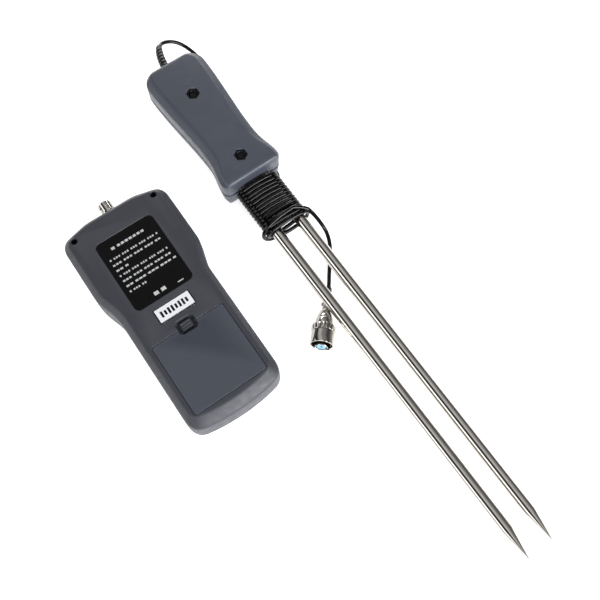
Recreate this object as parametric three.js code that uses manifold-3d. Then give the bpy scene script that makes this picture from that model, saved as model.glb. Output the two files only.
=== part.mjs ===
// Grain moisture meter: a hand-held meter lying on its front, and its two-pin probe beside it with the lead
// wound round the pins. Millimetres, +Z up. The origin is on the surface that both stand on, at the centre of
// the meter's front face. The meter's connector end points to +Y, and the probe's pins point to -Y.

import * as THREE from 'three';
import { mergeVertices } from 'three/addons/utils/BufferGeometryUtils.js';
import Module from 'manifold-3d';

const wasm = await Module();
wasm.setup();

// ---------------------------------------------------------------- driving dimensions

const GAP = 0.3;                 // clearance between neighbouring pieces
const DEGREE = Math.PI / 180;

// meter case
const HEAD_HALF = 38.6;          // half width of the head
const GRIP_HALF = 33.2;          // half width of the grip
const TOP_END = 79.5;            // y of the connector end
const BOTTOM_END = -79.6;        // y of the far end
const PARTING = 13;              // height of the joint between the two case halves
const BACK_MID = 30;             // height of the back face at y = 0
const BACK_SLOPE = 0.038;        // the back rises by this much per millimetre towards the connector
const WALL = 2.2;
const FRONT_WALL = 2.4;
const CHAMFER = 4.6;             // width of the chamfer round the back face
const CHAMFER_DROP = 5;
const BOTTOM_BEVEL = 3;          // extra width of the chamfer at the far end

// battery compartment, door and latch; the door and the latch are measured on the back face
const DOOR = { half: 25.6, top: -18.7, bottom: -68.4, thickness: 2 };
const DOOR_GAP = 0.35;
const HOOKS = [-13, 13];
const BAY = { half: 25, top: -20, bottom: -67.6, floor: 13.2, wall: 1.2 };
const CELL = { radius: 5.25, length: 44.5, pitch: 11, y: -43.8, z: 18.6 };
const LATCH = { half: 6.7, top: -12.6, bottom: -22.8, depth: 3.5, corner: 1.9 };

// label and sticker on the back face
const LABEL = { half: 20.7, top: 58.9, bottom: 6.1, radius: 3.4 };
const STICKER = { half: 12.7, top: 1.2, bottom: -9, radius: 0.8 };
const PLATE = 0.4;
const RECESS = 0.8;

// socket on the connector end
const SOCKET_Z = 20;
const SOCKET_REACH = 9.3;
const NECK_RADIUS = 4.7;
const BARREL_RADIUS = 4.8;
const STUD_TURN = 40 * DEGREE;

// front of the meter
const WINDOW = { half: 27, top: 64, bottom: 28, radius: 3 };
const WINDOW_REBATE = 2;
const BOARD_Z = 8.6;
const KEY_TOP = 0.5;             // the keys stay this far inside the front face
const KEY = { width: 18, depth: 9.5, radius: 3 };
const KEYS = {
  key_up: [-13, 11],
  key_down: [13, 11],
  key_mode: [-13, -5],
  key_hold: [13, -5],
  key_power: [0, -22],
};

const SCREWS = { left: [-29.4, 69.6], right: [29.4, 69.6] };
const HEAD_SEAT = 20;            // height of the shoulder under a case screw's head

// probe handle, in its own frame: front face at y = 0, rear face at y = HANDLE_LENGTH
const HANDLE_LENGTH = 105.1;
const HANDLE_TOP = 16;           // from the pins' axes up to the flat face
const HANDLE_BOTTOM = 17;        // from the pins' axes down to the flat underside
const HANDLE_SPLIT = 2;          // height of the joint between the handle's halves
const HANDLE_WALL = 2.5;
const TOP_BEVEL = 4.4;           // height of the soft bevel along the upper edges
const FOOT = 6.2;                // the flat underside starts this far behind the front face
const BOLTS = { front: 15.6, rear: 73.2 };
const BLOCK_RIBS = [26.5, 40.5];  // ribs that hold the pin block
const NUT_FLAT = 8;
const POCKET_FLAT = 8.3;
const NUT_TOP = 14.8;
const NUT_HEIGHT = 4;

// probe pins
const PIN_RADIUS = 4;
const PIN_X = 9.15;
const PIN_REACH = 294.8;         // from the handle's front face to the point
const PIN_CONE = 21.5;
const PIN_INSIDE = 50;

// the probe lies on its front lower edge and on its pins' shoulders
const PROBE_YAW = 1 * DEGREE;
const PROBE_TILT = Math.atan((HANDLE_BOTTOM - PIN_RADIUS) / (PIN_REACH - PIN_CONE + FOOT));
const PROBE_PLACE = new THREE.Vector3(
  93, 46.5, HANDLE_BOTTOM * Math.cos(PROBE_TILT) - FOOT * Math.sin(PROBE_TILT));

// lead: the tight turns and then the loose ones run along the pins, in the handle's frame
const CORD = 2.8;                // diameter
const WRAP = { start: -0.4, end: -31.6, inner: 4.3, outer: 7.2 };
const LOOPS = { start: -31.9, end: -41, inner: 4.3, outer: 9.9 };
const BOOT = { length: 27.5, root: 3.1, tip: 2.7, neck: 3.3, rings: 7, sideways: 0.0105, down: 0.006 };

// plug on the lead, in its own frame: the coupling nut's rim is at y = 0 and the lead leaves at PLUG_LENGTH
const NUT_RADIUS = 8;
const NUT_LENGTH = 14;
const PLUG_LENGTH = 42.8;
const PLUG_TURN = -42.7 * DEGREE;
const PLUG_TILT = 8.4 * DEGREE;
const PLUG_PLACE = new THREE.Vector3(
  63.9, -72.4, NUT_RADIUS * Math.cos(PLUG_TILT) + NUT_LENGTH * Math.sin(PLUG_TILT));

// ---------------------------------------------------------------- solids

function toSolid(geometry) {
  const bare = geometry.clone();
  bare.deleteAttribute('normal');
  bare.deleteAttribute('uv');
  const merged = mergeVertices(bare, 1e-4);
  return new wasm.Manifold(new wasm.Mesh({
    numProp: 3,
    vertProperties: new Float32Array(merged.attributes.position.array),
    triVerts: new Uint32Array(merged.index.array),
  }));
}

function toGeometry(solid) {
  const mesh = solid.getMesh();
  const geometry = new THREE.BufferGeometry();
  geometry.setAttribute('position', new THREE.BufferAttribute(new Float32Array(mesh.vertProperties), 3));
  geometry.setIndex(new THREE.BufferAttribute(new Uint32Array(mesh.triVerts), 1));
  geometry.computeVertexNormals();
  return geometry;
}

function joined(base, ...pieces) {
  return toGeometry(pieces.reduce((solid, piece) => solid.add(toSolid(piece)), toSolid(base)));
}

function cut(base, ...pieces) {
  return toGeometry(pieces.reduce((solid, piece) => solid.subtract(toSolid(piece)), toSolid(base)));
}

function common(a, b) {
  return toGeometry(toSolid(a).intersect(toSolid(b)));
}

function box(x0, x1, y0, y1, z0, z1) {
  const geometry = new THREE.BoxGeometry(x1 - x0, y1 - y0, z1 - z0);
  return geometry.translate((x0 + x1) / 2, (y0 + y1) / 2, (z0 + z1) / 2);
}

// An upright cylinder.
function post(x, y, z0, z1, radius, sides = 12) {
  const geometry = new THREE.CylinderGeometry(radius, radius, z1 - z0, sides);
  return geometry.rotateX(Math.PI / 2).translate(x, y, (z0 + z1) / 2);
}

// A cylinder along Y.
function rod(x, z, y0, y1, radius, sides = 16) {
  const geometry = new THREE.CylinderGeometry(radius, radius, y1 - y0, sides);
  return geometry.translate(x, (y0 + y1) / 2, z);
}

// A turned piece about the Y axis, from [radius, y] pairs in rising order that start and end on the axis.
function turned(profile, sides = 16) {
  return new THREE.LatheGeometry(profile.map(([r, y]) => new THREE.Vector2(r, y)), sides);
}

// A ring about the Y axis.
function ring(inner, outer, y0, y1, sides = 16) {
  return turned([[inner, y0], [outer, y0], [outer, y1], [inner, y1], [inner, y0]], sides);
}

// A regular six-sided prism along Z, with corners on the Y axis.
function hexPrism(flat, z0, z1) {
  return post(0, 0, z0, z1, flat / Math.sqrt(3), 6);
}

function roundedOutline(x0, x1, y0, y1, radius) {
  const path = new THREE.Path();
  path.absarc(x1 - radius, y0 + radius, radius, -Math.PI / 2, 0);
  path.absarc(x1 - radius, y1 - radius, radius, 0, Math.PI / 2);
  path.absarc(x0 + radius, y1 - radius, radius, Math.PI / 2, Math.PI);
  path.absarc(x0 + radius, y0 + radius, radius, Math.PI, Math.PI * 1.5);
  return path.getPoints(2);
}

// The outline of a plate with round corners, larger by grow all round.
function plateOutline({ half, top, bottom, radius }, grow = 0) {
  return roundedOutline(-half - grow, half + grow, bottom - grow, top + grow, radius + grow);
}

function prism(outline, z0, z1, hole = null) {
  const shape = new THREE.Shape(outline);
  if (hole) shape.holes.push(new THREE.Path(hole));
  return new THREE.ExtrudeGeometry(shape, { depth: z1 - z0, bevelEnabled: false }).translate(0, 0, z0);
}

// A closed outline from its right half, which runs from the lower end to the upper.
function mirrored(half) {
  const right = half.getPoints(4);
  const left = right.filter((p) => p.x > 0).reverse().map((p) => new THREE.Vector2(-p.x, p.y));
  return right.concat(left);
}

// A closed solid through outlines with equal numbers of points, from the lowest [outline, height] to the highest.
// A height is a number or a function of the point.
function loft(...levels) {
  const count = levels[0][0].length;
  const positions = levels.flatMap(([outline, height]) => outline.flatMap(
    (p) => [p.x, p.y, typeof height === 'function' ? height(p) : height]));
  const index = [];
  for (let level = 0; level + 1 < levels.length; level++) {
    for (let i = 0; i < count; i++) {
      const a = level * count + i;
      const b = level * count + (i + 1) % count;
      index.push(a, b, b + count, a, b + count, a + count);
    }
  }
  const last = (levels.length - 1) * count;
  for (const [a, b, c] of THREE.ShapeUtils.triangulateShape(levels[0][0], [])) {
    index.push(c, b, a);
  }
  for (const [a, b, c] of THREE.ShapeUtils.triangulateShape(levels.at(-1)[0], [])) {
    index.push(a + last, b + last, c + last);
  }
  const geometry = new THREE.BufferGeometry();
  geometry.setAttribute('position', new THREE.Float32BufferAttribute(positions, 3));
  geometry.setIndex(index);
  geometry.computeVertexNormals();
  return geometry;
}

// A round cord or wire through a list of points.
function tube(points, radius, steps) {
  const sides = 8;
  const section = Array.from({ length: sides }, (_, i) => new THREE.Vector2(
    radius * Math.cos(2 * Math.PI * i / sides), radius * Math.sin(2 * Math.PI * i / sides)));
  const curve = new THREE.CatmullRomCurve3(points.map((p) => new THREE.Vector3(...p)), false, 'centripetal');
  return new THREE.ExtrudeGeometry(new THREE.Shape(section), { steps, extrudePath: curve });
}

// ---------------------------------------------------------------- materials

function finish(color, roughness, metalness = 0) {
  return () => new THREE.MeshStandardMaterial({ color, roughness, metalness });
}

const greyPlastic = finish(0x4a4d52, 0.6);
const handlePlastic = finish(0x50545b, 0.55);
const keyRubber = finish(0x24262a, 0.7);
const clearWindow = finish(0x20262a, 0.1);
const displayGlass = finish(0x9aa590, 0.3);
const boardGreen = finish(0x1f5a3a, 0.5);
const siliconeMat = finish(0xb9bcbf, 0.8);
const labelBlack = finish(0x0b0b0d, 0.5);
const stickerSilver = finish(0xc9ccd0, 0.4, 0.5);
const nickel = finish(0xc4c0b6, 0.25, 1);
const steel = finish(0xb9b6b0, 0.2, 1);
const springSteel = finish(0xa9abad, 0.35, 1);
const brass = finish(0xc8a24a, 0.3, 1);
const whitePlastic = finish(0xe6ebee, 0.35);
const blackScrew = finish(0x17181a, 0.45, 1);
const cellJacket = finish(0x1b4d8f, 0.35);
const blackCord = finish(0x0d0d0e, 0.3);
const blackRubber = finish(0x101012, 0.6);
const clampPlastic = finish(0x2c2d30, 0.6);
const redWire = finish(0x9c2a22, 0.4);

function piece(name, geometry, material) {
  const mesh = new THREE.Mesh(geometry, material());
  mesh.name = name;
  return mesh;
}

// ---------------------------------------------------------------- the meter's case

// The case seen from above, moved inwards. lift moves its far end in further.
function caseOutline(inward = 0, lift = 0) {
  const low = BOTTOM_END + inward + lift;
  const high = TOP_END - inward;
  const grip = GRIP_HALF - inward;
  const head = HEAD_HALF - inward;
  const half = new THREE.Path();
  half.moveTo(0, low);
  half.quadraticCurveTo(14, low, 26 - 0.85 * inward, low + 2.6 - 0.1 * inward);
  half.quadraticCurveTo(grip, low + 4.6 - 0.3 * inward, grip, low + 13.6 - inward);
  half.lineTo(grip, 6);
  half.bezierCurveTo(grip, 16, head, 23, head, 32);
  half.lineTo(head, high - 13.5 + inward);
  half.quadraticCurveTo(head, high - 5.3 + 0.35 * inward, 32 - 0.8 * inward, high - 3.5 + 0.25 * inward);
  half.lineTo(21 - 0.3 * inward, high - 0.7);
  half.quadraticCurveTo(18 - 0.3 * inward, high, 14 - 0.3 * inward, high);
  return mirrored(half);
}

// The height of a surface that lies this far under the back face.
function under(depth) {
  return (p) => BACK_MID + BACK_SLOPE * p.y - depth;
}

// Moves a shape whose z is measured from the back face onto that face.
const backFrame = new THREE.Matrix4()
  .makeTranslation(0, 0, BACK_MID)
  .multiply(new THREE.Matrix4().makeRotationX(Math.atan(BACK_SLOPE)));

function onBack(geometry) {
  return geometry.applyMatrix4(backFrame);
}

// The part of the octagonal finger recess between y0 and y1, on the back face.
function latchRecess(y0, y1) {
  const { half, top, bottom, depth, corner } = LATCH;
  const octagon = [
    [-half + corner, bottom], [half - corner, bottom], [half, bottom + corner], [half, top - corner],
    [half - corner, top], [-half + corner, top], [-half, top - corner], [-half, bottom + corner],
  ].map(([x, y]) => new THREE.Vector2(x, y));
  return common(prism(octagon, -depth, 1), box(-10, 10, y0, y1, -10, 10));
}

function rearCase() {
  const start = PARTING + GAP;
  const shell = cut(
    loft(
      [caseOutline(), start],
      [caseOutline(0.5), under(CHAMFER_DROP)],
      [caseOutline(CHAMFER - 0.9, 0.8 * BOTTOM_BEVEL), under(0.7)],
      [caseOutline(CHAMFER, BOTTOM_BEVEL), under(0)]),
    loft(
      [caseOutline(WALL), start - 1],
      [caseOutline(WALL + 0.5), under(CHAMFER_DROP + 1.4)],
      [caseOutline(CHAMFER + 0.6, BOTTOM_BEVEL), under(WALL)]));
  const wallX = BAY.half + BAY.wall;
  const upperEdge = DOOR.top + DOOR_GAP;
  const lowerEdge = DOOR.bottom - DOOR_GAP;
  const doorBed = -DOOR.thickness - GAP;
  const latchX = LATCH.half + 1.6;
  const places = Object.values(SCREWS);
  const filled = joined(
    shell,
    box(-wallX, wallX, BAY.bottom - BAY.wall, BAY.top + BAY.wall, BAY.floor - BAY.wall, 27.2),
    onBack(box(-latchX, latchX, upperEdge, LATCH.top + 1.4, -4.9, -1.8)),
    ...places.map(([x, y]) => post(x, y, start, 31, 4.1)));
  return cut(
    filled,
    box(-BAY.half, BAY.half, BAY.bottom, BAY.top, BAY.floor, 40),
    onBack(box(-DOOR.half - DOOR_GAP, DOOR.half + DOOR_GAP, lowerEdge, upperEdge, doorBed, 4)),
    onBack(box(-8, 8, BAY.top - 1, upperEdge, -4.8, 0)),
    onBack(latchRecess(upperEdge - 1, 0)),
    ...HOOKS.map((x) => onBack(box(x - 3.2, x + 3.2, -71.2, -66, -4.6, doorBed))),
    ...places.map(([x, y]) => post(x, y, 5, HEAD_SEAT + 1, 1.3, 8)),
    ...places.map(([x, y]) => post(x, y, HEAD_SEAT, 40, 2.3)),
    onBack(prism(plateOutline(LABEL, GAP), -RECESS, 2)),
    onBack(prism(plateOutline(STICKER, GAP), -RECESS, 2)),
    rod(0, SOCKET_Z, 60, 90, NECK_RADIUS + GAP));
}

function keyOutline([x, y], grow) {
  const halfX = KEY.width / 2 + grow;
  const halfY = KEY.depth / 2 + grow;
  return roundedOutline(x - halfX, x + halfX, y - halfY, y + halfY, KEY.radius + grow);
}

function frontCase() {
  const shell = cut(
    loft(
      [caseOutline(3.2), 0],
      [caseOutline(1.2), 0.9],
      [caseOutline(0.2), 3.4],
      [caseOutline(), PARTING]),
    loft(
      [caseOutline(WALL + 1), FRONT_WALL],
      [caseOutline(WALL), FRONT_WALL + 2],
      [caseOutline(WALL), PARTING + 1]));
  const screws = Object.values(SCREWS);
  const boardPosts = [[-27, -58], [27, -58], [-27, 23], [27, 23]];
  const filled = joined(
    shell,
    prism(plateOutline(WINDOW, 2.4), 2.2, WINDOW_REBATE + 1.4),
    ...screws.map(([x, y]) => post(x, y, 2, PARTING, 3.4)),
    ...boardPosts.map(([x, y]) => post(x, y, 2, BOARD_Z - GAP, 2, 12)));
  return cut(
    filled,
    ...screws.map(([x, y]) => post(x, y, 5.5, PARTING + 1, 1.3, 8)),
    prism(plateOutline(WINDOW), -1, WINDOW_REBATE),
    prism(plateOutline(WINDOW, -2.2), -1, 5),
    ...Object.values(KEYS).map((place) => prism(keyOutline(place, 0.35), -1, 4)));
}

// ---------------------------------------------------------------- inside and on the front

function keyCap(place) {
  return joined(prism(keyOutline(place, 0), KEY_TOP, 3.9), prism(keyOutline(place, 1.1), 2.7, 3.7));
}

function keyMat() {
  const pads = Object.values(KEYS).map(([x, y]) => post(x, y, 6, BOARD_Z - GAP, 3, 12));
  return joined(prism(roundedOutline(-25, 25, -30, 20, 3), 4.9, 6.1), ...pads);
}

function mainBoard() {
  const chips = [[-8, 8, 10, 24], [-20, -13, -8, 2], [12, 22, 30, 38]];
  return joined(
    box(-28, 28, -66, 64, BOARD_Z, BOARD_Z + 1.6),
    ...chips.map(([x0, x1, y0, y1]) => box(x0, x1, y0, y1, BOARD_Z + 1.5, BOARD_Z + 2.9)));
}

function batteryCell(index) {
  const half = CELL.length / 2;
  const cell = turned([
    [0, -half], [CELL.radius - 0.5, -half], [CELL.radius, -half + 0.5], [CELL.radius, half - 1.5],
    [CELL.radius - 0.5, half - 1], [1.9, half - 1], [1.9, half], [0, half],
  ]);
  const turn = index % 2 ? Math.PI : 0;
  return cell.rotateZ(turn).translate((index - 1.5) * CELL.pitch, CELL.y, CELL.z);
}

// The strip of metal at one end of the cells, with a pressed cone facing each of them.
function batteryContact(y, towards) {
  const strip = box(-22, 22, y - 0.25, y + 0.25, CELL.z - 4, CELL.z + 4.5);
  const cones = [0, 1, 2, 3].map((i) => {
    const cone = new THREE.CylinderGeometry(1.4, 2.6, 0.7, 12);
    if (towards < 0) cone.rotateX(Math.PI);
    return cone.translate((i - 1.5) * CELL.pitch, y + towards * 0.35, CELL.z);
  });
  return joined(strip, ...cones);
}

// ---------------------------------------------------------------- door and latch

function batteryDoor() {
  const { half, top, bottom, thickness } = DOOR;
  const plate = prism(roundedOutline(-half, half, bottom, top, 1.2), -thickness, 0);
  const cup = box(-7.3, 7.3, -23.6, top, -4.2, -thickness + 0.1);
  const legs = HOOKS.map((x) => box(x - 2.4, x + 2.4, -67.9, -66.4, -4, -thickness + 0.1));
  const feet = HOOKS.map((x) => box(x - 2.4, x + 2.4, -69.9, -66.4, -4, -2.6));
  return cut(joined(plate, cup, ...legs, ...feet), latchRecess(-40, top + 1));
}

function doorLatch() {
  const tab = box(-3.4, 3.4, -20.6, -14.6, -2.6, -1.1);
  const ridge = box(-3.4, 3.4, -18.1, -17.3, -1.2, -0.6);
  return joined(tab, ridge);
}

// ---------------------------------------------------------------- socket and case screws

// The socket's pieces are turned about Y and stand on the connector end.
function socketBody() {
  const face = TOP_END + GAP;
  const mouth = TOP_END + SOCKET_REACH;
  const barrel = turned([
    [0, 70], [NECK_RADIUS, 70], [NECK_RADIUS, face], [6.2, face], [6.2, face + 1.4],
    [BARREL_RADIUS, face + 1.4], [BARREL_RADIUS, mouth - 0.4], [4.5, mouth], [4.05, mouth],
    [4.05, face + 2.4], [0, face + 2.4],
  ]);
  const crossing = new THREE.CylinderGeometry(1, 1, 11.2, 10)
    .rotateZ(Math.PI / 2)
    .rotateY(STUD_TURN)
    .translate(0, mouth - 2.9, 0);
  const studs = cut(crossing, rod(0, 0, 70, mouth + 1, 4.4));
  return joined(barrel, studs);
}

function socketPieces() {
  const group = new THREE.Group();
  group.position.set(0, 0, SOCKET_Z);
  const inside = TOP_END + GAP + 2.4 + GAP;
  const wallInside = TOP_END - WALL - 1;
  const nutFace = wallInside - 1.1;
  const nut = cut(
    new THREE.CylinderGeometry(7, 7, 2.5, 6).translate(0, nutFace - 1.25, 0),
    rod(0, 0, 60, 90, NECK_RADIUS + GAP));
  group.add(
    piece('socket_body', socketBody(), nickel),
    piece('socket_insulator', ring(0.85, 2.4, inside, inside + 6.4, 12), whitePlastic),
    piece('socket_contact', rod(0, 0, inside, inside + 5.8, 0.5, 8), brass),
    piece('socket_washer', ring(NECK_RADIUS + GAP, 7.4, wallInside - 0.8, wallInside), springSteel),
    piece('socket_nut', nut, nickel));
  return group;
}

function caseScrew([x, y]) {
  const head = HEAD_SEAT + GAP;
  return cut(
    joined(post(x, y, head, head + 2, 1.9), post(x, y, 6, head + 0.5, 1, 12)),
    box(x - 1.3, x + 1.3, y - 0.3, y + 0.3, head + 1, head + 3),
    box(x - 0.3, x + 0.3, y - 1.3, y + 1.3, head + 1, head + 3));
}

// ---------------------------------------------------------------- the probe, in the handle's frame

// The handle seen from above, with its sides, ends and front corners moved inwards.
function handleOutline(side = 0, front = side, rear = side, corner = side) {
  const half = new THREE.Path();
  const waist = 19.2 - side;
  const nose = 22.6 - corner;
  const tail = 22.8 - side;
  const noseX = Math.max(4.8 - side, 2);
  const noseY = Math.max(4.8 - front, 2);
  const tailX = Math.max(10.6 - side, 3);
  const tailY = Math.max(10.6 - rear, 3);
  const end = HANDLE_LENGTH - rear;
  half.absellipse(nose - noseX, front + noseY, noseX, noseY, -Math.PI / 2, 0);
  half.bezierCurveTo(nose, front + noseY + 8, waist, 17, waist, 29);
  half.bezierCurveTo(waist, 50, tail, 72, tail, end - tailY);
  half.absellipse(tail - tailX, end - tailY, tailX, tailY, 0, Math.PI / 2);
  return mirrored(half);
}

function handleTop() {
  const start = HANDLE_SPLIT + GAP / 2;
  const roof = HANDLE_TOP - HANDLE_WALL;
  const shell = cut(
    loft(
      [handleOutline(), start],
      [handleOutline(), HANDLE_TOP - TOP_BEVEL],
      [handleOutline(1.1, 0.1, 0.4, 0.7), HANDLE_TOP - 2.7],
      [handleOutline(4.2, 1.1, 1.7, 2.5), HANDLE_TOP - 0.7],
      [handleOutline(6.4, 2.8, 3.4, 3.8), HANDLE_TOP]),
    loft(
      [handleOutline(HANDLE_WALL), start - 1],
      [handleOutline(HANDLE_WALL), HANDLE_TOP - TOP_BEVEL - 0.6],
      [handleOutline(7.5, 4, 5), roof]));
  const bolts = Object.values(BOLTS);
  const filled = joined(
    shell,
    ...bolts.map((y) => box(-4.6, 4.6, y - 6.5, y + 6.5, start, roof + 1)),
    ...bolts.map((y) => box(-7, 7, y - 7.5, y + 7.5, 6.3, roof + 1)),
    ...BLOCK_RIBS.map((y) => box(-11, 11, y - 0.75, y + 0.75, 6.8, roof + 1)));
  return cut(
    filled,
    ...bolts.map((y) => post(0, y, -20, 20, 2.8)),
    ...bolts.map((y) => hexPrism(POCKET_FLAT, NUT_TOP - NUT_HEIGHT - GAP, 20).translate(0, y, 0)),
    ...endHoles());
}

function handleBottom() {
  const top = HANDLE_SPLIT - GAP / 2;
  const floor = HANDLE_WALL - HANDLE_BOTTOM;
  const shell = cut(
    loft(
      [handleOutline(8.4, FOOT, 8.6, 5.4), -HANDLE_BOTTOM],
      [handleOutline(6.2, 3.8, 6.4, 3.8), 0.9 - HANDLE_BOTTOM],
      [handleOutline(5.2, 2.6, 5.2, 3), 2.4 - HANDLE_BOTTOM],
      [handleOutline(), top - 2.6],
      [handleOutline(), top - 1.2],
      [handleOutline(0.7), top - 1],
      [handleOutline(0.7), top]),
    loft(
      [handleOutline(8.6, 6.6, 8.6), floor],
      [handleOutline(4.3), -7],
      [handleOutline(3.4), top - 3],
      [handleOutline(3.4), top + 1]));
  const bolts = Object.values(BOLTS);
  const filled = joined(
    shell,
    ...bolts.map((y) => box(-4.6, 4.6, y - 6.5, y + 6.5, floor - 0.5, top)),
    ...bolts.map((y) => box(-7, 7, y - 7.5, y + 7.5, floor - 0.5, -9)),
    ...BLOCK_RIBS.map((y) => box(-10, 10, y - 0.75, y + 0.75, floor - 0.5, -5.8)));
  return cut(
    filled,
    ...bolts.map((y) => post(0, y, -20, 20, 2.8)),
    ...bolts.map((y) => post(0, y, -20, -13, 4.6)),
    ...endHoles());
}

// The holes in the handle's ends for the pins and for the lead's sleeve.
function endHoles() {
  return [
    ...[-PIN_X, PIN_X].map((x) => rod(x, 0, -1, 8, PIN_RADIUS + GAP)),
    rod(0, 0, HANDLE_LENGTH - 6, HANDLE_LENGTH + 1, BOOT.neck + GAP),
  ];
}

function handleBolt(y) {
  const head = post(0, y, -16.5, -13.3, 4.2);
  const socket = hexPrism(4, -18, -14.6).translate(0, y, 0);
  return cut(joined(head, post(0, y, -13.5, NUT_TOP - 0.4, 2.5)), socket);
}

function handleNut(y) {
  return cut(hexPrism(NUT_FLAT, NUT_TOP - NUT_HEIGHT, NUT_TOP).translate(0, y, 0), post(0, y, 0, 20, 2.8));
}

function probePin(x) {
  return turned([
    [0, -PIN_REACH], [0.25, -PIN_REACH + 0.5], [PIN_RADIUS, -PIN_REACH + PIN_CONE], [PIN_RADIUS, PIN_INSIDE - 0.5],
    [PIN_RADIUS - 0.5, PIN_INSIDE], [1.7, PIN_INSIDE], [1.7, PIN_INSIDE - 7], [0, PIN_INSIDE - 7],
  ]).translate(x, 0, 0);
}

function pinBlock() {
  return cut(box(-14.4, 14.4, 23.6, 45, -5.2, 6.4), ...[-PIN_X, PIN_X].map((x) => rod(x, 0, 20, 50, PIN_RADIUS + GAP)));
}

function lug(x) {
  const start = PIN_INSIDE + GAP;
  return joined(
    ring(1.7, 3.6, start, start + 0.8, 12).translate(x, 0, 0),
    box(x - 1.4, x + 1.4, start, start + 0.8, 3, 8.6));
}

function lugScrew(x) {
  const start = PIN_INSIDE + GAP + 0.8 + GAP;
  return joined(rod(x, 0, start, start + 2, 2.7, 12), rod(x, 0, PIN_INSIDE - 6, start + 0.5, 1.3, 8));
}

// One core of the lead, from the lug on a pin to the end of the lead inside the handle.
function coreWire(side) {
  const start = PIN_INSIDE + GAP + 0.8 + GAP;
  const points = [
    [side * PIN_X, start, 7.6], [side * 9.6, start + 5, 7.4], [side * 10.2, start + 14, 5.6],
    [side * 9.2, start + 27, 3], [side * 5, start + 36, 0.8], [side * 1.3, start + 43, 0],
  ];
  return tube(points, 0.7, 14);
}

// The ribbed sleeve where the lead leaves the handle. It hangs down and to one side under the lead's weight.
function cordBoot() {
  const root = HANDLE_LENGTH + GAP;
  const pitch = BOOT.length / BOOT.rings;
  const radiusAt = (t) => THREE.MathUtils.lerp(BOOT.root, BOOT.tip, t);
  const profile = [[0, HANDLE_LENGTH - 8], [2.4, HANDLE_LENGTH - 8], [2.4, HANDLE_LENGTH - 3.5]];
  profile.push([BOOT.neck, HANDLE_LENGTH - 3], [BOOT.neck, root]);
  for (let i = 0; i < BOOT.rings; i++) {
    const y = root + i * pitch;
    const radius = radiusAt(i / BOOT.rings);
    profile.push([radius, y + 0.2], [radius, y + pitch * 0.62], [radius - 0.5, y + pitch * 0.7]);
    profile.push([radius - 0.5, y + pitch * 0.95]);
  }
  profile.push([BOOT.tip - 0.5, root + BOOT.length], [0, root + BOOT.length]);
  const geometry = turned(profile, 8);
  const position = geometry.attributes.position;
  for (let i = 0; i < position.count; i++) {
    const along = Math.max(0, position.getY(i) - root - 2);
    position.setX(i, position.getX(i) + BOOT.sideways * along * along);
    position.setZ(i, position.getZ(i) - BOOT.down * along * along);
  }
  return geometry;
}

// The outline round both pins, at this distance from their axes.
function stadium(radius) {
  const path = new THREE.Path();
  path.absarc(PIN_X, 0, radius, -Math.PI / 2, Math.PI / 2);
  path.absarc(-PIN_X, 0, radius, Math.PI / 2, Math.PI * 1.5);
  return path.getPoints(5).slice(0, -1);
}

// The space that turns of the lead round the pins fill.
function turns({ start, end, inner, outer }) {
  return prism(stadium(outer), 0, start - end, stadium(inner)).rotateX(Math.PI / 2).translate(0, start, 0);
}

function probe() {
  const group = new THREE.Group();
  group.position.copy(PROBE_PLACE);
  group.rotation.set(PROBE_TILT, 0, PROBE_YAW, 'ZXY');
  group.add(
    piece('handle_top', handleTop(), handlePlastic),
    piece('handle_bottom', handleBottom(), handlePlastic),
    piece('pin_block', pinBlock(), clampPlastic),
    piece('cord_boot', cordBoot(), blackRubber),
    piece('cord_wrap', turns(WRAP), blackCord),
    piece('cord_loops', turns(LOOPS), blackCord));
  for (const [name, y] of Object.entries(BOLTS)) {
    group.add(piece(`handle_bolt_${name}`, handleBolt(y), blackScrew));
    group.add(piece(`handle_nut_${name}`, handleNut(y), blackScrew));
  }
  for (const [name, side] of [['left', -1], ['right', 1]]) {
    group.add(
      piece(`probe_pin_${name}`, probePin(side * PIN_X), steel),
      piece(`lug_${name}`, lug(side * PIN_X), brass),
      piece(`lug_screw_${name}`, lugScrew(side * PIN_X), springSteel),
      piece(`core_wire_${name}`, coreWire(side), redWire));
  }
  return group;
}

// ---------------------------------------------------------------- lead and plug

// From the boot, down onto the surface, along the handle's far side, and in under the first turn.
const TAIL_ROUTE = [
  [99.9, 180.9, 17.8], [101.9, 182.0, 17.1], [105.2, 182.4, 15.8], [109.2, 181.7, 14.0], [113.1, 180.0, 11.6],
  [116.4, 177.4, 8.6], [119.0, 174.2, 5.6], [120.9, 170.0, 3.2], [121.6, 164.5, 1.9], [121.0, 158, 1.5],
  [118.8, 146, 1.5], [116.6, 132, 1.5], [114.8, 118, 1.5], [113.6, 104, 1.5], [112.6, 90, 1.5], [112.4, 76, 1.5],
  [113.4, 65, 1.5], [114.3, 56.5, 1.5], [113.5, 49.4, 1.8], [110.4, 45.6, 3.6], [106.6, 44.6, 6.8],
];

// From the loose turns, down onto the surface, under the right pin and into the plug's sleeve.
const LEAD_ROUTE = [
  [112.3, 2.8, 15.6], [113.7, -3.0, 11.1], [114.2, -8.4, 6.6], [113.0, -13.4, 3.2], [110.2, -18.6, 1.7],
  [106.4, -23.8, 1.5], [102.2, -28.9, 1.6], [98.4, -33.6, 2.3], [95.5, -37.4, 3.3], [93.2, -40.2, 4.1],
];

function plugShell() {
  return turned([
    [0, 12.5], [4.6, 12.5], [4.6, NUT_LENGTH + GAP], [5.8, NUT_LENGTH + GAP], [5.8, 18.6], [5.2, 20.2],
    [4, 24], [3, 25.4], [3, 27.2], [0, 27.2],
  ]);
}

function couplingNut() {
  return turned([
    [6.7, 0], [7.5, 0], [7.9, 0.4], [7.5, 8.8], [7.5, 9.3], [NUT_RADIUS, 9.5], [NUT_RADIUS, NUT_LENGTH],
    [5, NUT_LENGTH], [5, 9], [6.7, 8], [6.7, 0],
  ], 24);
}

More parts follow.
